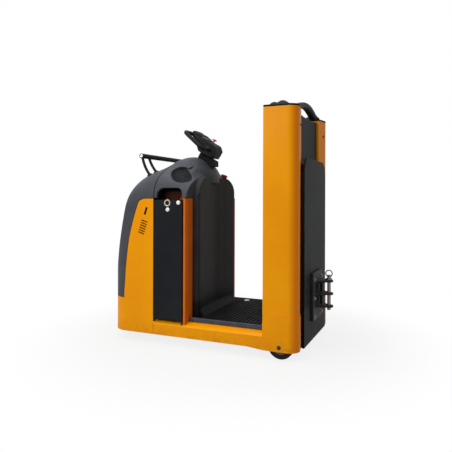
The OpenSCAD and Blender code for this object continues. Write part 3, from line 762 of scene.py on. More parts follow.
def stand_in(mesh, finish, *stands_for, crease=60, name=None):
    """A piece that replaces CAD nodes and rides on the body of the first."""
    first = stands_for[0]
    body = nodes[first]["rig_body"]
    return new_piece(name or first + "_look", mesh, body, finish, slots[first], crease, *stands_for)


# Angles in degrees: edges to round, facets to join into one face, edges to keep sharp
ROUND_PAST, FLAT_UNDER, SHARP_PAST = 34, 1, 45


def dressed(node, finish, radius):
    """A copy of a CAD node with its sharp edges rounded to a radius in millimetres."""
    bm = bmesh.new()
    bm.from_mesh(nodes[node].data)
    bmesh.ops.remove_doubles(bm, verts=bm.verts, dist=MERGE)
    bmesh.ops.dissolve_limit(bm, angle_limit=math.radians(FLAT_UNDER), verts=bm.verts, edges=bm.edges)
    rim = bm.faces.layers.float.new("rim")
    sharp = [
        edge for edge in bm.edges
        if len(edge.link_faces) == 2 and edge.calc_face_angle() > math.radians(ROUND_PAST)
    ]
    made = bmesh.ops.bevel(
        bm, geom=sharp, offset=radius * MM, offset_type="OFFSET", segments=3,
        profile=0.5, affect="EDGES", clamp_overlap=True,
    )
    for face in made["faces"]:
        face[rim] = 1.0
    mesh = bpy.data.meshes.new(node + "_look")
    bm.to_mesh(mesh)
    bm.free()
    return stand_in(mesh, finish, node, crease=SHARP_PAST)


# Node, finish, edge radius in millimetres
DRESSED = [
    ("base_frame", ENAMEL, 6.0),
    ("corner_post_left", POST_PAINTED_SHADE, 2.0),
    ("corner_post_right", POST_PAINTED_SHADE, 2.0),
    ("bulkhead", WALL, 6.0),
    ("battery", CASE, 3.0),
    ("battery_door_left", DOOR, 2.0),
    ("battery_door_right", DOOR, 2.0),
    ("door_lock_left", CHROME, 1.2),
    ("door_lock_right", CHROME, 1.2),
    ("hinge_pins", DARK_STEEL, 0.5),
    ("edge_trims", TRIM, 4.0),
    ("foot_switch", ZINC, 3.0),
    ("steer_display", SCREEN, 3.0),
    ("stop_base", BLACK, 2.0),
    ("stop_button", RED, 6.0),
    ("column_left", COLUMN_WITH_PAINTED_SHADE, 3.0),
    ("column_right", COLUMN_WITH_PAINTED_SHADE, 3.0),
    ("foot_left", COLUMN_WITH_PAINTED_SHADE, 2.5),
    ("foot_right", COLUMN_WITH_PAINTED_SHADE, 2.5),
    ("rear_housing", PLATE, 7.0),
    ("rear_plate", PLATE, 3.5),
    ("coupling", CASTING, 3.0),
    ("tow_pin", DULL_STEEL, 1.2),
    ("load_axles", DARK_STEEL, 1.5),
    ("drive_plate", PLATE, 2.0),
    ("drive_motor", CASTING, 3.0),
    ("drive_leg", CASTING, 3.0),
    ("drive_hub", CASTING, 3.0),
    ("drive_tyre", TREAD, 3.0),
]
for node, finish, radius in DRESSED:
    dressed(node, finish, radius)

# Soft-edged mouldings: node, finish, size of a quad in millimetres, rounds of smoothing
MOULDED = [
    ("steer_head", GRIP, 2.4, 10),
    ("column_caps", CAP, 2.6, 9),
]
for node, finish, voxel, rounds in MOULDED:
    stand_in(softened(merged_copy(node), voxel, rounds), finish, node, crease=75)


# Steering

STEER_AT, STEER_LEAN = (738, 0, 1262), math.radians(29)
HEAD_ALONG = np.array((math.cos(STEER_LEAN), 0, math.sin(STEER_LEAN)))
HEAD_UP = np.array((-math.sin(STEER_LEAN), 0, math.cos(STEER_LEAN)))
# The stem starts NECK_TOP under the head's middle and gives up a share of its radius as room to turn
STEM_R, STEM_SLACK, STEM_ROOM, NECK_TOP = 16, 1.2, 0.15, 50
# Housing round the display: place along the head, half width, low and high edge; then its corners' share
HOUSING_ROWS = [
    (66, 26, 14, 40), (68, 40, 6, 51), (73, 46, 2, 57), (88, 48, 4, 64),
    (108, 47, 10, 67), (128, 44, 20, 65), (140, 38, 30, 60), (144, 26, 38, 54),
]
HOUSING_ROUND = 0.38
# Rear end of the head: places across it with how far the outline shrinks there, then the outline
HEEL_ROWS = [(-54, 9), (-51, 3), (-44, 0), (44, 0), (51, 3), (54, 9)]
HEEL_ALONG, HEEL_UP, HEEL_R = (-92, -50), (-42.6, 4), 11
# Red knob on its stem: radius and height pairs
HORN_AT = (-20, 0, 46)
HORN_PROFILE = [
    (0, -2), (7.5, -2), (6, 2), (5, 6), (5, 15), (7, 17.5), (14, 18.5), (16.5, 20.5),
    (16.8, 23.5), (15, 26.5), (10, 28.2), (0, 28.8),
]


def on_head(along, across, up):
    """A point of the steering head: along its face from the axis, across and up from it."""
    return np.array(STEER_AT) + along * HEAD_ALONG + np.array((0, across, 0)) + up * HEAD_UP


def display_housing():
    """Rounded housing between the hand loops, in front of the display."""
    rows = []
    for along, half, low, high in HOUSING_ROWS:
        edge = round_outline(-half, low, half, high, min(half, high - low) * HOUSING_ROUND, 8)
        rows.append([on_head(along, across, up) for across, up in edge])
    return closed("display_housing", rows)


def head_heel():
    """Rear end of the head, carried down to just above the neck."""
    (back, front), (low, high) = HEEL_ALONG, HEEL_UP
    rows = []
    for across, shrink in HEEL_ROWS:
        edge = round_outline(back + shrink, low + shrink, front - shrink, high - shrink, HEEL_R)
        rows.append([on_head(along, across, up) for along, up in edge])
    return closed("head_heel", rows)


def steer_neck():
    """Neck on the dome, its stem kept clear of the turning head."""
    mesh = softened(merged_copy("steer_neck"), 2.4, 8)
    points = coordinates(mesh)
    off = points - framed(STEER_AT)
    up = off @ HEAD_UP
    out = off - up[:, None] * HEAD_UP
    stem = (np.linalg.norm(out, axis=1) < STEM_R * STEM_SLACK * MM) & (up > -NECK_TOP * MM)
    points[stem] -= STEM_ROOM * out[stem]
    return placed(mesh, points)


stand_in(steer_neck(), BLACK, "steer_neck", crease=75)
horn = lathe("horn_knob", HORN_PROFILE, on_head(*HORN_AT), HEAD_UP, 40)
stand_in(horn, RED, "horn_knob", crease=40)
new_piece("display_housing", display_housing(), "handle", GRIP, "black_plastic", 50)
new_piece("head_heel", head_heel(), "handle", GRIP, "black_plastic", 50)


# Front body

# How far both sides keep back from a seam, the rounding of the sheets' rims, and the angle in degrees
# past which an edge is such a rim
SEAM_GAP, PANEL_RIM, HOOD_RIM, RIM_PAST = 1.6, 1.6, 2.4, 50
# Height of the rounded shoulder: at the band, and its growth with the body's height over that
SHOULDER_LOW, SHOULDER_RISE = 20, 0.45
# The dome flows into the body over DOME_BLEND; past DOME_TURN of its reach its flank runs on straight,
# and the flow fades out over DOME_FADE ahead of the bulkhead; DOME_FOOT is the latitude of its foot
DOME_BLEND, DOME_TURN, DOME_FADE, DOME_FOOT = 90, 0.8, 40, -8
# Height where that flow sets in, and over which it grows
SWELL_Z, SWELL_OVER = 990, 50
# Points inside the hood and inside the yellow panels
HOOD_HEART, PANEL_HEART = (1000, 0, 600), (1000, 0, 400)
# Corner radius of the slots, and how far their cutters reach to both sides of the panel's face
SLOT_ROUND, CUT_REACH = 3.2, 30
# The cowl's wall, and how far its hollow runs on below and ahead
COWL_WALL, HOLLOW_LOW, HOLLOW_AHEAD = 20, 40, 60
# Room round the bowls, and the height from which they are taken out of the body
BOWL_ROOM, BOWL_LOW = 0.4, 960
# Liners behind the slots: depth under the panel's face with the outline's growth, then the outline
LINER_ROWS = [(12, 0), (9, 3), (7.5, 12), (7.5, 14), (15, 14), (15, 6)]
LINER_X, LINER_Z, LINER_R = (958, 1046), (668, 866), 20
# Cover over the terminals: places across with how far the outline shrinks there, then the outline
COVER_ROWS = [(-322, 14), (-320, 6), (-312, 0), (312, 0), (320, 6), (322, 14)]
COVER_X, COVER_Z, COVER_R = (736, 892), (893, 966), 26

top_line = smooth_line(TOP_LINE, 30)
panel_edge = smooth_line(PANEL_EDGE, 8)


def body_top(b):
    """Height of the body's ridge, at a distance behind the front."""
    return np.interp(b, top_line[:, 0], top_line[:, 1])


def edge_height(b):
    """Height of the yellow panel's upper edge, at a distance behind the front."""
    return np.interp(b, panel_edge[:, 0], panel_edge[:, 1])


def nose_half(b):
    """Half width of the body, at a distance behind the front."""
    lag = np.maximum(NOSE_R - np.asarray(b, float), 0)
    return HALF_W - NOSE_R + np.sqrt(np.maximum(NOSE_R**2 - lag**2, 0))


def shoulder(top):
    """Height of the rounded shoulder under a ridge."""
    return np.minimum(SHOULDER_H, SHOULDER_LOW + SHOULDER_RISE * (top - BAND_Z))


def body_height(x, y):
    """Height of the front body's skin over a point of the plan."""
    b = FRONT_X - x
    top = body_top(b)
    h = shoulder(top)
    out = np.minimum(np.abs(y) / nose_half(b), 1)
    return top - h + h * (1 - out**SECTION_POWER) ** (1 / SECTION_POWER)


def body_section(b, low, inset=0, count=70):
    """The section at a distance behind the front, over a height, from left to right; inset lies inside."""
    top, half = body_top(b) - inset, nose_half(b) - inset
    h = shoulder(body_top(b))
    turn = np.linspace(0, math.pi, 500)
    y = half * np.sign(np.cos(turn)) * np.abs(np.cos(turn)) ** (2 / SECTION_POWER)
    z = top - h + h * np.abs(np.sin(turn)) ** (2 / SECTION_POWER)
    line = np.vstack([(half, SKIRT_Z), np.c_[y, z], (-half, SKIRT_Z)])
    peak = int(np.argmax(line[:, 1]))
    edge = np.interp(low, line[: peak + 1, 1], line[: peak + 1, 0])
    kept = np.vstack([(edge, low), line[line[:, 1] > low], (-edge, low)])
    return np.c_[np.full(count, FRONT_X - b), spread(kept, count)]


def swell(x, y):
    """Rise of the front body round the console dome, so that the dome flows into it."""
    out = np.sqrt(((x - DOME_AT[0]) / DOME_R[0]) ** 2 + (y / DOME_R[1]) ** 2)
    dome = DOME_AT[2] + DOME_R[2] * np.sqrt(np.clip(1 - out**2, 0, 1))
    level = math.sqrt(1 - DOME_TURN**2)
    flank = DOME_AT[2] + DOME_R[2] * (level - DOME_TURN / level * (out - DOME_TURN))
    skirt = np.where(out < DOME_TURN, dome, flank)
    body = body_height(x, y)
    near = np.maximum(DOME_BLEND - np.abs(skirt - body), 0) / DOME_BLEND
    rise = np.maximum(skirt, body) + near**2 * DOME_BLEND / 4
    rise -= np.where(out < 1, np.maximum(dome, body), body)
    return rise * np.clip((x - WALL_X) / DOME_FADE, 0, 1)


def swollen(mesh):
    """The same mesh with its points raised round the dome."""
    points = coordinates(mesh)
    x, y, z = measured(points)
    points[:, 2] += swell(x, y) * MM * np.clip((z - SWELL_Z) / SWELL_OVER, 0, 1)
    return placed(mesh, points)


def front_hood():
    """Hood band from the nose to the cowl, over the edge of the yellow panels."""
    back = FRONT_X - SEAM_X - SEAM_GAP
    stations = np.r_[spread(top_line, 170)[:, 0], panel_edge[:, 0], back]
    stations = np.unique(np.round(stations[stations <= back], 3))
    rows = [body_section(b, edge_height(b + SEAM_GAP) + SEAM_GAP) for b in stations]
    return swollen(face_out(loft("front_hood_look", rows, caps=(True, False)), HOOD_HEART))


def front_panels():
    """Yellow skirt and side panels, drawn round the nose in one sheet."""
    back = FRONT_X - SEAM_X - SEAM_GAP
    side = np.unique(np.r_[np.linspace(NOSE_R, back, 24), panel_edge[:, 0], panel_edge[:, 0] + SEAM_GAP])
    side = side[side >= NOSE_R][::-1]
    turn = np.radians(np.linspace(3, 90, 30))
    half = np.vstack([
        np.c_[FRONT_X - side, np.full(len(side), HALF_W)],
        np.c_[np.sin(turn), np.cos(turn)] * NOSE_R + (FRONT_X - NOSE_R, HALF_W - NOSE_R),
        np.c_[np.full(15, FRONT_X), np.linspace(HALF_W - NOSE_R, 0, 16)[1:]],
    ])
    plan = np.vstack([half, half[-2::-1] * (1, -1)])
    high = edge_height(FRONT_X - plan[:, 0] - SEAM_GAP) - SEAM_GAP
    rows = [np.c_[plan, SKIRT_Z + share * (high - SKIRT_Z)] for share in np.linspace(0, 1, 26)]
    return face_out(loft("front_panels_look", rows), PANEL_HEART)


def slot_cutters():
    """The air slots and the charging slot of both sides as solid bars."""
    lean = math.radians(VENT_TILT)
    spots = [
        (VENT_X - k * VENT_PITCH * math.tan(lean), VENT_Z + k * VENT_PITCH, VENT_LEN, VENT_H)
        for k in range(VENT_COUNT)
    ]
    spots.append((SLOT_X, SLOT_Z, SLOT_W, SLOT_H))
    along = np.array((math.cos(lean), math.sin(lean)))
    up = np.array((-math.sin(lean), math.cos(lean)))
    bars = []
    for side in (1, -1):
        for x, z, length, height in spots:
            outline = round_outline(-length / 2, -height / 2, length / 2, height / 2, SLOT_ROUND, 4)
            flat = [np.array((x, z)) + u * along + v * up for u, v in outline]
            bars.append(slab("bar", flat, "y", side * (HALF_W - CUT_REACH), side * (HALF_W + CUT_REACH)))
    return join_meshes("slot_cutters", bars)


def sheet_metal(mesh, rim, cutter=None):
    """A skin given its inward thickness, its cuts and rounded rims."""
    made = shown("sheet", mesh)
    wall = made.modifiers.new("wall", "SOLIDIFY")
    wall.thickness = SHEET * MM
    wall.offset = -1
    wall.use_even_offset = True
    tools = [add_cut(made, "DIFFERENCE", cutter)] if cutter else []
    edge = made.modifiers.new("rim", "BEVEL")
    edge.width = rim * MM
    edge.segments = 2
    edge.limit_method = "ANGLE"
    edge.angle_limit = math.radians(RIM_PAST)
    return baked(made, tools)


def pockets(name, grow):
    """The storage pockets of both sides as solid lobes, grown by some millimetres."""
    lobes = []
    for side in (1, -1):
        for (x, y, z), radii in POCKET_LOBES:
            lobes.append(ellipsoid(name, (x, side * y, z), tuple(r + grow for r in radii)))
    return carved(lobes[0], *[("UNION", lobe) for lobe in lobes[1:]])


def body_block(name, low):
    """Solid block of the cowl and the dome over a height."""
    front, back = FRONT_X - SEAM_X + SEAM_GAP, FRONT_X - WALL_X
    block = closed(name, [body_section(b, low) for b in np.linspace(front, back, 40)])
    return carved(block, ("UNION", ellipsoid("dome", DOME_AT, DOME_R, DOME_FOOT)))


def cowl():
    """Top cowl with its arches and pockets, flowing up into the console dome."""
    low = PANEL_TOP + SEAM_GAP
    front, back = FRONT_X - SEAM_X - HOLLOW_AHEAD, FRONT_X - WALL_X - COWL_WALL
    hollow = [body_section(b, low - HOLLOW_LOW, COWL_WALL) for b in np.linspace(front, back, 30)]
    arch = round_outline(ARCH_X[0], ARCH_TOP - 4 * ARCH_R, ARCH_X[1], ARCH_TOP, ARCH_R)
    mesh = carved(
        body_block("cowl", low),
        ("DIFFERENCE", closed("hollow", hollow)),
        ("DIFFERENCE", slab("arch", arch, "y", -HALF_W - COWL_WALL, HALF_W + COWL_WALL)),
        ("DIFFERENCE", pockets("pocket", BOWL_WALL + BOWL_ROOM)),
    )
    mesh = swollen(softened(mesh, 4.0, 4))
    notches = []
    for side in (1, -1):
        wide, thin = (np.array((x, side * y, z)) for x, y, z in NOTCH_LINE)
        length = np.linalg.norm(thin - wide)
        taper = [(0, -4), (9, -3), (11, 2), (8, length * 0.45), (2.5, length), (0, length + 2)]
        notches.append(("DIFFERENCE", lathe("notch", taper, wide, thin - wide, 24)))
    return carved(mesh, *notches)


def storage_pockets():
    """Thin black bowls that line the pockets of the cowl."""
    block = carved(body_block("bowls", BOWL_LOW), ("INTERSECT", pockets("bowl_outside", BOWL_WALL)))
    mesh = carved(block, ("DIFFERENCE", pockets("bowl_inside", 0)))
    return swollen(softened(mesh, 2.2, 3))


def slot_liners():
    """Dished liners behind the slots of the front panels."""
    parts = []
    for side in (1, -1):
        rows = []
        for depth, grow in LINER_ROWS:
            edge = round_outline(
                LINER_X[0] - grow, LINER_Z[0] - grow, LINER_X[1] + grow, LINER_Z[1] + grow, LINER_R
            )
            rows.append([(x, side * (HALF_W - depth), z) for x, z in edge])
        parts.append(closed("liner", rows))
    return join_meshes("slot_liners", parts)


def terminal_cover():
    """Soft cover over the battery's terminals, seen through the arches."""
    rows = []
    for y, shrink in COVER_ROWS:
        edge = round_outline(
            COVER_X[0] + shrink, COVER_Z[0], COVER_X[1] - shrink, COVER_Z[1] - shrink, COVER_R
        )
        rows.append([(x, y, z) for x, z in edge])
    return closed("terminal_cover", rows)


stand_in(sheet_metal(front_panels(), PANEL_RIM, slot_cutters()), ENAMEL, "front_panels", crease=40)
stand_in(sheet_metal(front_hood(), HOOD_RIM), HOOD, "front_hood", crease=50)
stand_in(cowl(), HOOD, "top_cowl", "console_dome", name="cowl_and_dome")
stand_in(storage_pockets(), BLACK, "storage_bowls")
new_piece("slot_liners", slot_liners(), "chassis", LINER, "battery_case", 40)
new_piece("terminal_cover", terminal_cover(), "chassis", LINER, "battery_case", 40)


# Battery doors

# Radius and height pairs: the round caps and the core of the lock
DOOR_CAP = [
    (DOOR_CAP_R, 0), (DOOR_CAP_R, 2.4), (12, 3.6), (9.5, 4.6), (6, 5.4), (2.5, 5.8), (0, 5.9),
]
LOCK_CORE = [
    (0, -5), (13.2, -5), (13.2, -1.5), (12, -0.6), (7.5, -0.8), (6.5, -3.0), (2.2, -3.2), (2.2, -1.6),
    (0, -1.5),
]
for side, hand in HANDS:
    face = (0, side, 0)
    caps = [lathe("cap", DOOR_CAP, (x, side * HALF_W, z), face) for x, z in DOOR_CAPS_AT]
    stand_in(join_meshes("door_caps", caps), WHITE, "door_knobs_" + hand, crease=50)
    core = lathe("lock_core", LOCK_CORE, (LOCK_AT[0], side * HALF_W, LOCK_AT[1]), face)
    new_piece("lock_core_" + hand, core, "door_" + hand, GRIP, "black_plastic", 40)


# Standing platform

# Border of the mat: how far in from its edge and how high
MAT_ROWS = [
    (3, 0), (0, 3), (0, MAT_T), (1.5, MAT_T + 3), (4, MAT_T + 3.6), (7, MAT_T + 2.5), (9, MAT_T),
]
# Corner radius of the mat, and where its ribs begin and end
MAT_R, RIB_FROM, RIB_TO = 14, MAT_X[0] + 10.5, MAT_X[1] - 12


def mat_sheet():
    """Moulded mat with a rounded edge and a raised border."""
    (x0, x1), half = MAT_X, DECK_HALF - TRIM_T
    rows = []
    for inset, rise in MAT_ROWS:
        edge = round_outline(x0 + inset, inset - half, x1 - inset, half - inset, MAT_R - inset)
        rows.append([(x, y, SILL_TOP + rise) for x, y in edge])
    return closed("mat_sheet", rows)


def rib_pattern():
    """Ribs of a mat: bars with sloping flanks, laid across at an even pitch."""
    p = Pattern("mat_ribs", Length=0.64, Foot_width=0.0135, Top_width=0.0085, Height=0.0052)
    outline = p.node(
        "GeometryNodeCurvePrimitiveQuadrilateral", {"mode": "TRAPEZOID"}, Bottom_Width=p.size("Foot_width"),
        Top_Width=p.size("Top_width"), Height=p.size("Height"), Offset=0.0,
    ).outputs[0]
    tip = p.node("ShaderNodeCombineXYZ", None, Y=p.size("Length") * 0.5).outputs[0]
    tail = p.node("ShaderNodeCombineXYZ", None, Y=p.size("Length") * -0.5).outputs[0]
    line = p.node("GeometryNodeCurvePrimitiveLine", None, Start=tail, End=tip).outputs[0]
    bar = p.node("GeometryNodeCurveToMesh", None, line, outline, Fill_Caps=True).outputs[0]
    p.repeat(bar)
    return p


rib_points = [(x, 0, SILL_TOP + MAT_T + MAT_RIB / 2) for x in np.arange(RIB_FROM, RIB_TO, RIB_PITCH)]
ribs = rib_pattern().make("mat_ribs", rib_points, [(0, 0, 1)] * len(rib_points), MAT)
around_switch = lathe(
    "switch_gap", [(SWITCH_GAP, 0), (SWITCH_GAP, 40)], (*SWITCH_AT, SILL_TOP + MAT_T - 1), (0, 0, 1)
)
new_piece("mat_ribs", carved(ribs, ("DIFFERENCE", around_switch)), "chassis", MAT, "mat_rubber", 30)
stand_in(mat_sheet(), MAT, "platform_mat", crease=40)


# Grab rail

# Inner radius of the rail's tube, depth of its open ends, and the step that measures the body's slope
RAIL_BORE, RAIL_STOP, SLOPE_STEP = RAIL_R - 4, 40, 5
# One end of the rail's tube, its feet and its end plugs: radius and height pairs
RAIL_TIP = [
    (0, RAIL_STOP), (RAIL_BORE, RAIL_STOP), (RAIL_BORE, 2), (RAIL_BORE + 1, 0), (RAIL_R - 1, 0),
    (RAIL_R, 1.5),
]
RAIL_BOSS = [(0, 0.2), (18, 0.2), (18, 3.5), (16, 6), (12, 7.5), (LEG_R + 0.5, 11), (0, 11)]
RAIL_PLUG = [
    (0, -8), (RAIL_R - 4.2, -8), (RAIL_R - 4.2, -1.5), (RAIL_R - 5, -0.4), (RAIL_R - 7, 0),
    (RAIL_R - 8, -1.2), (4, -1.6), (0, -1.6),
]


def arc_path(start, end, bow, count=30):
    """An arc between two points of x and z, bowed the way the rail's legs are."""
    start, end = np.array(start, float), np.array(end, float)
    chord = end - start
    reach = np.linalg.norm(chord)
    middle = (start + end) / 2 + np.array((-chord[1], chord[0])) / reach * math.sqrt(bow**2 - reach**2 / 4)
    first, last = (math.atan2(*(p - middle)[::-1]) for p in (start, end))
    turn = np.linspace(first, last, count)
    return middle + bow * np.c_[np.cos(turn), np.sin(turn)]


def grab_rail():
    """Tube with open ends, on curved legs with round feet."""
    tube = [(r, depth - RAIL_END) for r, depth in RAIL_TIP]
    tube += [(r, RAIL_END - depth) for r, depth in RAIL_TIP[::-1]]
    parts = [lathe("tube", tube, (RAIL_X, 0, RAIL_Z), (0, 1, 0))]
    d = SLOPE_STEP
    for side, _ in HANDS:
        for y in LEG_YS:
            foot = np.array((LEG_X, side * y, body_height(LEG_X, y)))
            slope = np.array((
                body_height(LEG_X - d, y) - body_height(LEG_X + d, y),
                side * (body_height(LEG_X, y - d) - body_height(LEG_X, y + d)), 2 * d,
            ))
            flat = arc_path((LEG_X, foot[2] + 3), (RAIL_X, RAIL_Z), LEG_BOW)
            path = np.c_[flat[:, 0], np.full(len(flat), side * y), flat[:, 1]]
            parts.append(sweep("leg", path, (0, 1, 0), LEG_R, LEG_R))
            parts.append(lathe("boss", RAIL_BOSS, foot, slope))
    return join_meshes("grab_rail_look", parts)


stand_in(grab_rail(), TUBE, "grab_rail", crease=40)
for side, hand in HANDS:
    plug = lathe("rail_plug", RAIL_PLUG, (RAIL_X, side * RAIL_END, RAIL_Z), (0, side, 0))
    new_piece("rail_plug_" + hand, plug, "chassis", ZINC, "zinc_steel", 40)


# Rear columns

# Hand bar: its end, how softly it comes down on the caps and how far over them it stays, and the
# stretches where it widens and where its tips round off
BAR_END, BAR_SOFT, BAR_LIFT, BAR_FLARE, BAR_TIP = 272, 14, 3, (170, 260), (250, 272)
# Half width and half height of the bar, what its ends gain in one and lose in the other, and the power
# that squares its section
BAR_HALF, BAR_DEEP, BAR_GAIN, BAR_SQUARE = 27, 18.5, 9, 0.8
# Folded edge of the rear plate, in plan
FLANGE_BEND = [(-13, 280), (-11, 280), (4, 279.5), (6, 278.5), (6, 276), (4, 275), (-11, 275), (-13, 275)]
# Lid of the rear housing: its rise in the middle, its gain at the ends and the share where that sets in
LID_RISE, LID_GAIN, LID_FROM = 7, 9, 0.35
# How far the lid keeps inside the housing's back, front and sides, how deep it sits, and its corner radius
LID_BACK, LID_FRONT, LID_SIDE, LID_SINK, LID_R = 37, 1, 0.5, 12, 8


def hand_bar():
    """Moulded strap that arches from cap to cap and flattens out on them."""
    y = np.linspace(-BAR_END, BAR_END, 120)
    arch = BAR_TOP - BAR_BOW + np.sqrt(BAR_BOW**2 - y**2)
    rest = COL_TOP + CAP_T + BAR_LIFT
    z = 0.5 * (arch + rest + np.sqrt((arch - rest) ** 2 + BAR_SOFT**2))
    ends = between(np.abs(y), *BAR_FLARE) ** 2
    tip = np.sqrt(np.maximum(1 - between(np.abs(y), *BAR_TIP) ** 2, 0.02))
    path = np.c_[np.full(len(y), BAR_X), y, z]
    wide, deep = (BAR_HALF + BAR_GAIN * ends) * tip, BAR_DEEP - BAR_GAIN * ends
    return sweep("hand_bar_look", path, (1, 0, 0), wide, deep, 36, BAR_SQUARE)


def plate_flanges():
    """Lower edges of the rear plate, folded forward toward the feet of the columns."""
    strips = []
    for side, _ in HANDS:
        strips.append(slab("flange", [(x, side * y) for x, y in FLANGE_BEND], "z", *FLANGE_Z))
    return join_meshes("plate_flanges", strips)


def housing_lid():
    """Crowned lid of the rear housing, highest at the roots of the hand bar."""
    low, high = (np.array(corner) / MM + (AHEAD, 0, 0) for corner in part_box("rear_housing"))
    rows = []
    for share in np.linspace(-1, 1, 41):
        outer = between(abs(share), LID_FROM, 1)
        rise = LID_RISE + LID_GAIN * outer * outer * (3 - 2 * outer)
        edge = round_outline(
            low[0] + LID_BACK, high[2] - LID_SINK, high[0] - LID_FRONT, high[2] + rise, LID_R
        )
        rows.append([(x, share * (high[1] - LID_SIDE), z) for x, z in edge])
    return closed("housing_lid", rows)


stand_in(hand_bar(), GRIP, "hand_bar")
new_piece("plate_flanges", plate_flanges(), "chassis", PLATE, "black_paint", 40)
new_piece("housing_lid", housing_lid(), "chassis", PLATE, "black_paint", 50)


# Back cushion

# Rings of the pad before it is blown up: how far out from the housing and how far in from the pad's edge
PAD_ROWS = [(0, 5), (3, 4), (16, 4), (26, 8), (32, 15), (35, 29)]
# Gap behind the pad, size of its quads, depth of the back that is held, and how far air may move it
PAD_GAP, PAD_QUAD, PAD_HELD, PAD_REACH = 0.3, 6.0, 6, 11
# The simulation's frames, the pressure inside and the stiffness of the cover
BLOW_STEPS, BLOW_PRESSURE, COVER_STIFFNESS = 20, 4, 12
# Sewn channels across the pad: heights, depth, half width, and where the pad's front begins
CHANNEL_Z, CHANNEL_DEPTH, CHANNEL_HALF, PAD_FRONT = (1065, 1235), 9, 9, (8, 28)


def blown_up(pad):
    """The pad after a cloth simulation with air in it, its back held on the housing."""
    held = np.flatnonzero(coordinates(pad)[:, 0] < (HOUSE_X - AHEAD + PAD_HELD) * MM)
    made = shown("pad", pad)
    back = made.vertex_groups.new(name="back")
    back.add([int(i) for i in held], 1.0, "REPLACE")
    cloth = made.modifiers.new("cloth", "CLOTH")
    cloth.settings.quality = 6
    cloth.settings.use_pressure = True
    cloth.settings.uniform_pressure_force = BLOW_PRESSURE
    cloth.settings.tension_stiffness = COVER_STIFFNESS
    cloth.settings.compression_stiffness = COVER_STIFFNESS
    cloth.settings.vertex_group_mass = "back"
    cloth.settings.effector_weights.gravity = 0
    cloth.point_cache.frame_start, cloth.point_cache.frame_end = 1, BLOW_STEPS
    for tick in range(1, BLOW_STEPS + 1):
        bpy.context.scene.frame_set(tick)
    pad = baked(made)
    bpy.context.scene.frame_set(1)
    return pad


def back_cushion():
    """Crowned pad, blown up by a cloth simulation and sewn across in channels."""
    rows = []
    for reach, inset in PAD_ROWS:
        edge = round_outline(inset - PAD_HALF, PAD_Z[0] + inset, PAD_HALF - inset, PAD_Z[1] - inset, PAD_R)
        rows.append([(HOUSE_X + PAD_GAP + reach, y, z) for y, z in edge])
    pad = remeshed(closed("pad", rows), PAD_QUAD)
    start = coordinates(pad)
    pad = blown_up(pad)
    points = coordinates(pad)
    moved = points - start
    far = np.linalg.norm(moved, axis=1)[:, None]
    points = start + moved * np.minimum(1, PAD_REACH * MM / np.maximum(far, 1e-9))
    x, _, z = measured(points)
    front = between(x - HOUSE_X, *PAD_FRONT)
    for seam in CHANNEL_Z:
        points[:, 0] -= front * CHANNEL_DEPTH * MM * np.exp(-(((z - seam) / CHANNEL_HALF) ** 2))
    back, face = (HOUSE_X + PAD_GAP - AHEAD) * MM, (HOUSE_X + PAD_T - AHEAD) * MM
    points[:, 0] = np.clip(points[:, 0], back, face)
    return placed(pad, points)


cushion = stand_in(back_cushion(), VINYL, "back_cushion", crease=80)
smooth = cushion.modifiers.new("smooth", "SUBSURF")
smooth.levels = smooth.render_levels = 1


# Rear wheels

# One face of a wheel, from the bore out to the tread: radius and depth pairs
WHEEL_FACE = [
    (LOAD_BORE, 6), (24, 6), (26, 3), (40, 3), (44, 0), (LOAD_R - 8, 0), (LOAD_R - 2.5, 3), (LOAD_R, 9),
]
for side, hand in HANDS:
    profile = [(r, depth - LOAD_W / 2) for r, depth in WHEEL_FACE]
    profile += [(r, LOAD_W / 2 - depth) for r, depth in WHEEL_FACE[::-1]]
    wheel = lathe("load_wheel", profile, (LOAD_X, side * LOAD_Y, LOAD_R), (0, side, 0), 72, ring=True)
    stand_in(wheel, WHEEL, "load_wheel_" + hand, crease=40)


# Bolts and screws

# Places of the coupling's bolts, and of the screws on the columns' rear faces
BOLT_X, BOLT_YS, BOLT_ZS = -28, (-90, 90), (193, 306, 420)
SCREW_Y, SCREW_ZS = 304, (272, 602, 965, 1340)
# Rear face of a column: its lean, the radius of its outer corner and where that corner begins
COL_LEAN, COL_R, COL_CORNER_Y = math.radians(11), 56, 340


def bolt_pattern(name, sides, **sizes):
    """Heads with a bevelled crown on washers; all sizes in metres."""
    p = Pattern(name, **sizes)
    radius, height = p.size("Head_radius"), p.size("Head_height")
    disc, thick = p.size("Washer_radius"), p.size("Washer_height")
    washer = p.node("GeometryNodeMeshCylinder", None, 28, Radius=disc, Depth=thick).outputs[0]
    head = p.node("GeometryNodeMeshCylinder", None, sides, Radius=radius, Depth=height).outputs[0]
    crown = p.node(
        "GeometryNodeMeshCone", None, sides,
        Radius_Top=radius * 0.72, Radius_Bottom=radius, Depth=height * 0.3,
    ).outputs[0]
    foot = p.lifted(washer, thick * 0.5)
    body = p.lifted(head, thick + height * 0.5)
    p.repeat(p.joined(foot, body, p.lifted(crown, thick + height)))
    return p


bolts = bolt_pattern(
    "coupling_bolts", 6, Head_radius=0.0095, Head_height=0.006, Washer_radius=0.014, Washer_height=0.002
)
bolt_points = [(BOLT_X, y, z) for y in BOLT_YS for z in BOLT_ZS]
mesh = bolts.make("coupling_bolts", bolt_points, [(-1, 0, 0)] * len(bolt_points), DULL_STEEL)
new_piece("coupling_bolts", mesh, "chassis", DULL_STEEL, "zinc_steel", 30)

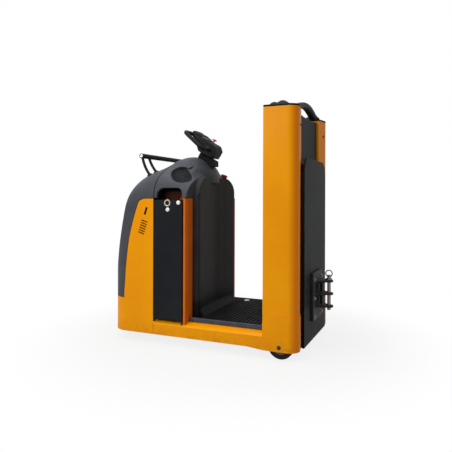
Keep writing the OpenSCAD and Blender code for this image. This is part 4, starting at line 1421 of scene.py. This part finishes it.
screws = bolt_pattern(
    "column_screws", 24, Head_radius=0.0065, Head_height=0.003, Washer_radius=0.009, Washer_height=0.0012
)
screw_x = COL_R * (1 - math.cos(COL_LEAN))
screw_x += (COL_CORNER_Y - COL_R * math.sin(COL_LEAN) - SCREW_Y) * math.tan(COL_LEAN)
screw_points, screw_aims = [], []
for side, _ in HANDS:
    for z in SCREW_ZS:
        screw_points.append((screw_x, side * SCREW_Y, z))
        screw_aims.append((-math.cos(COL_LEAN), -side * math.sin(COL_LEAN), 0))
mesh = screws.make("column_screws", screw_points, screw_aims, DARK_STEEL)
new_piece("column_screws", mesh, "chassis", DARK_STEEL, "zinc_steel", 30)


# Studio

# Strength of the sky's light, and half the floor's side in metres
SKY_LIGHT, FLOOR_REACH = 0.50, 30
# Share of plain white in the floor under the machine, and the distances over which it becomes all white
FLOOR_WHITE, FLOOR_FADE = 0.84, (0.75, 1.5)


def background_rays(tree):
    """1 for rays that show the background: from the camera, in gloss and through glass."""
    path = tree.node("ShaderNodeLightPath")
    camera_ray, glossy, through = (
        Value(tree, path.outputs[name]) for name in ("Is Camera Ray", "Is Glossy Ray", "Is Transmission Ray")
    )
    return (camera_ray + glossy + through).clamped()


def studio():
    """Pale floor that keeps the shadow, under an even white sky."""
    white = Finish("studio_floor", Roughness=0.9, Specular_IOR_Level=0.0)
    out = (white.along("X") * white.along("X") + white.along("Y") * white.along("Y")).root()
    tint = white.noise(1.5, 2)
    white.set("Base_Color", white.mix(tint * 0.02, (0.5, 0.5, 0.5), (0.48, 0.48, 0.48)))
    glow = white.node("ShaderNodeEmission", None, (1, 1, 1, 1), 1.0)
    share = background_rays(white) * (FLOOR_WHITE + out.ramp(*FLOOR_FADE) * (1 - FLOOR_WHITE))
    both = white.node("ShaderNodeMixShader", None, share, white.shader.outputs[0], glow.outputs[0])
    end = white.tree.nodes["Material Output"]
    white.tree.links.new(both.outputs[0], end.inputs["Surface"])
    mesh = bpy.data.meshes.new("studio_floor")
    r = FLOOR_REACH
    mesh.from_pydata([(-r, -r, 0), (r, -r, 0), (r, r, 0), (-r, r, 0)], [], [(0, 1, 2, 3)])
    mesh.materials.append(white.material)
    shown("studio_floor", mesh)

    world = bpy.data.worlds.new("studio")
    bpy.context.scene.world = world
    world.use_nodes = True
    sky = Tree(world.node_tree)
    back = world.node_tree.nodes["Background"]
    sky.feed(back.inputs["Strength"], SKY_LIGHT + background_rays(sky) * (1 - SKY_LIGHT))
    back.inputs["Color"].default_value = (1, 1, 1, 1)


def lamp(name, place, aim, size, power):
    """Soft square lamp of a power in watts."""
    data = bpy.data.lights.new(name, "AREA")
    data.shape = "RECTANGLE"
    data.size, data.size_y = size
    data.energy = power
    made = shown(name, data)
    made.location = place
    made.rotation_euler = (Vector(aim) - Vector(place)).to_track_quat("-Z", "Y").to_euler()


def camera():
    """The photograph's view: level, with the frame shifted down."""
    data = bpy.data.cameras.new("photo_view")
    data.sensor_width = 36
    data.lens = 39.11
    data.shift_y = -0.0633
    made = shown("photo_view", data)
    made.location = (-1.2867, 3.0542, 0.9217)
    level = Vector((0.3977, -0.9175, 0))
    made.rotation_euler = level.to_track_quat("-Z", "Y").to_euler()
    made.rotation_euler.rotate_axis("Z", 0.003)
    bpy.context.scene.camera = made


studio()
lamp("key", (1.6, 3.4, 2.6), (0, 0, 0.7), (2.4, 2.0), 78)
lamp("top", (0.2, 0.4, 4.0), (0, 0, 0.6), (3.0, 3.0), 110)
camera()
bpy.context.scene.view_settings.view_transform = "Standard"
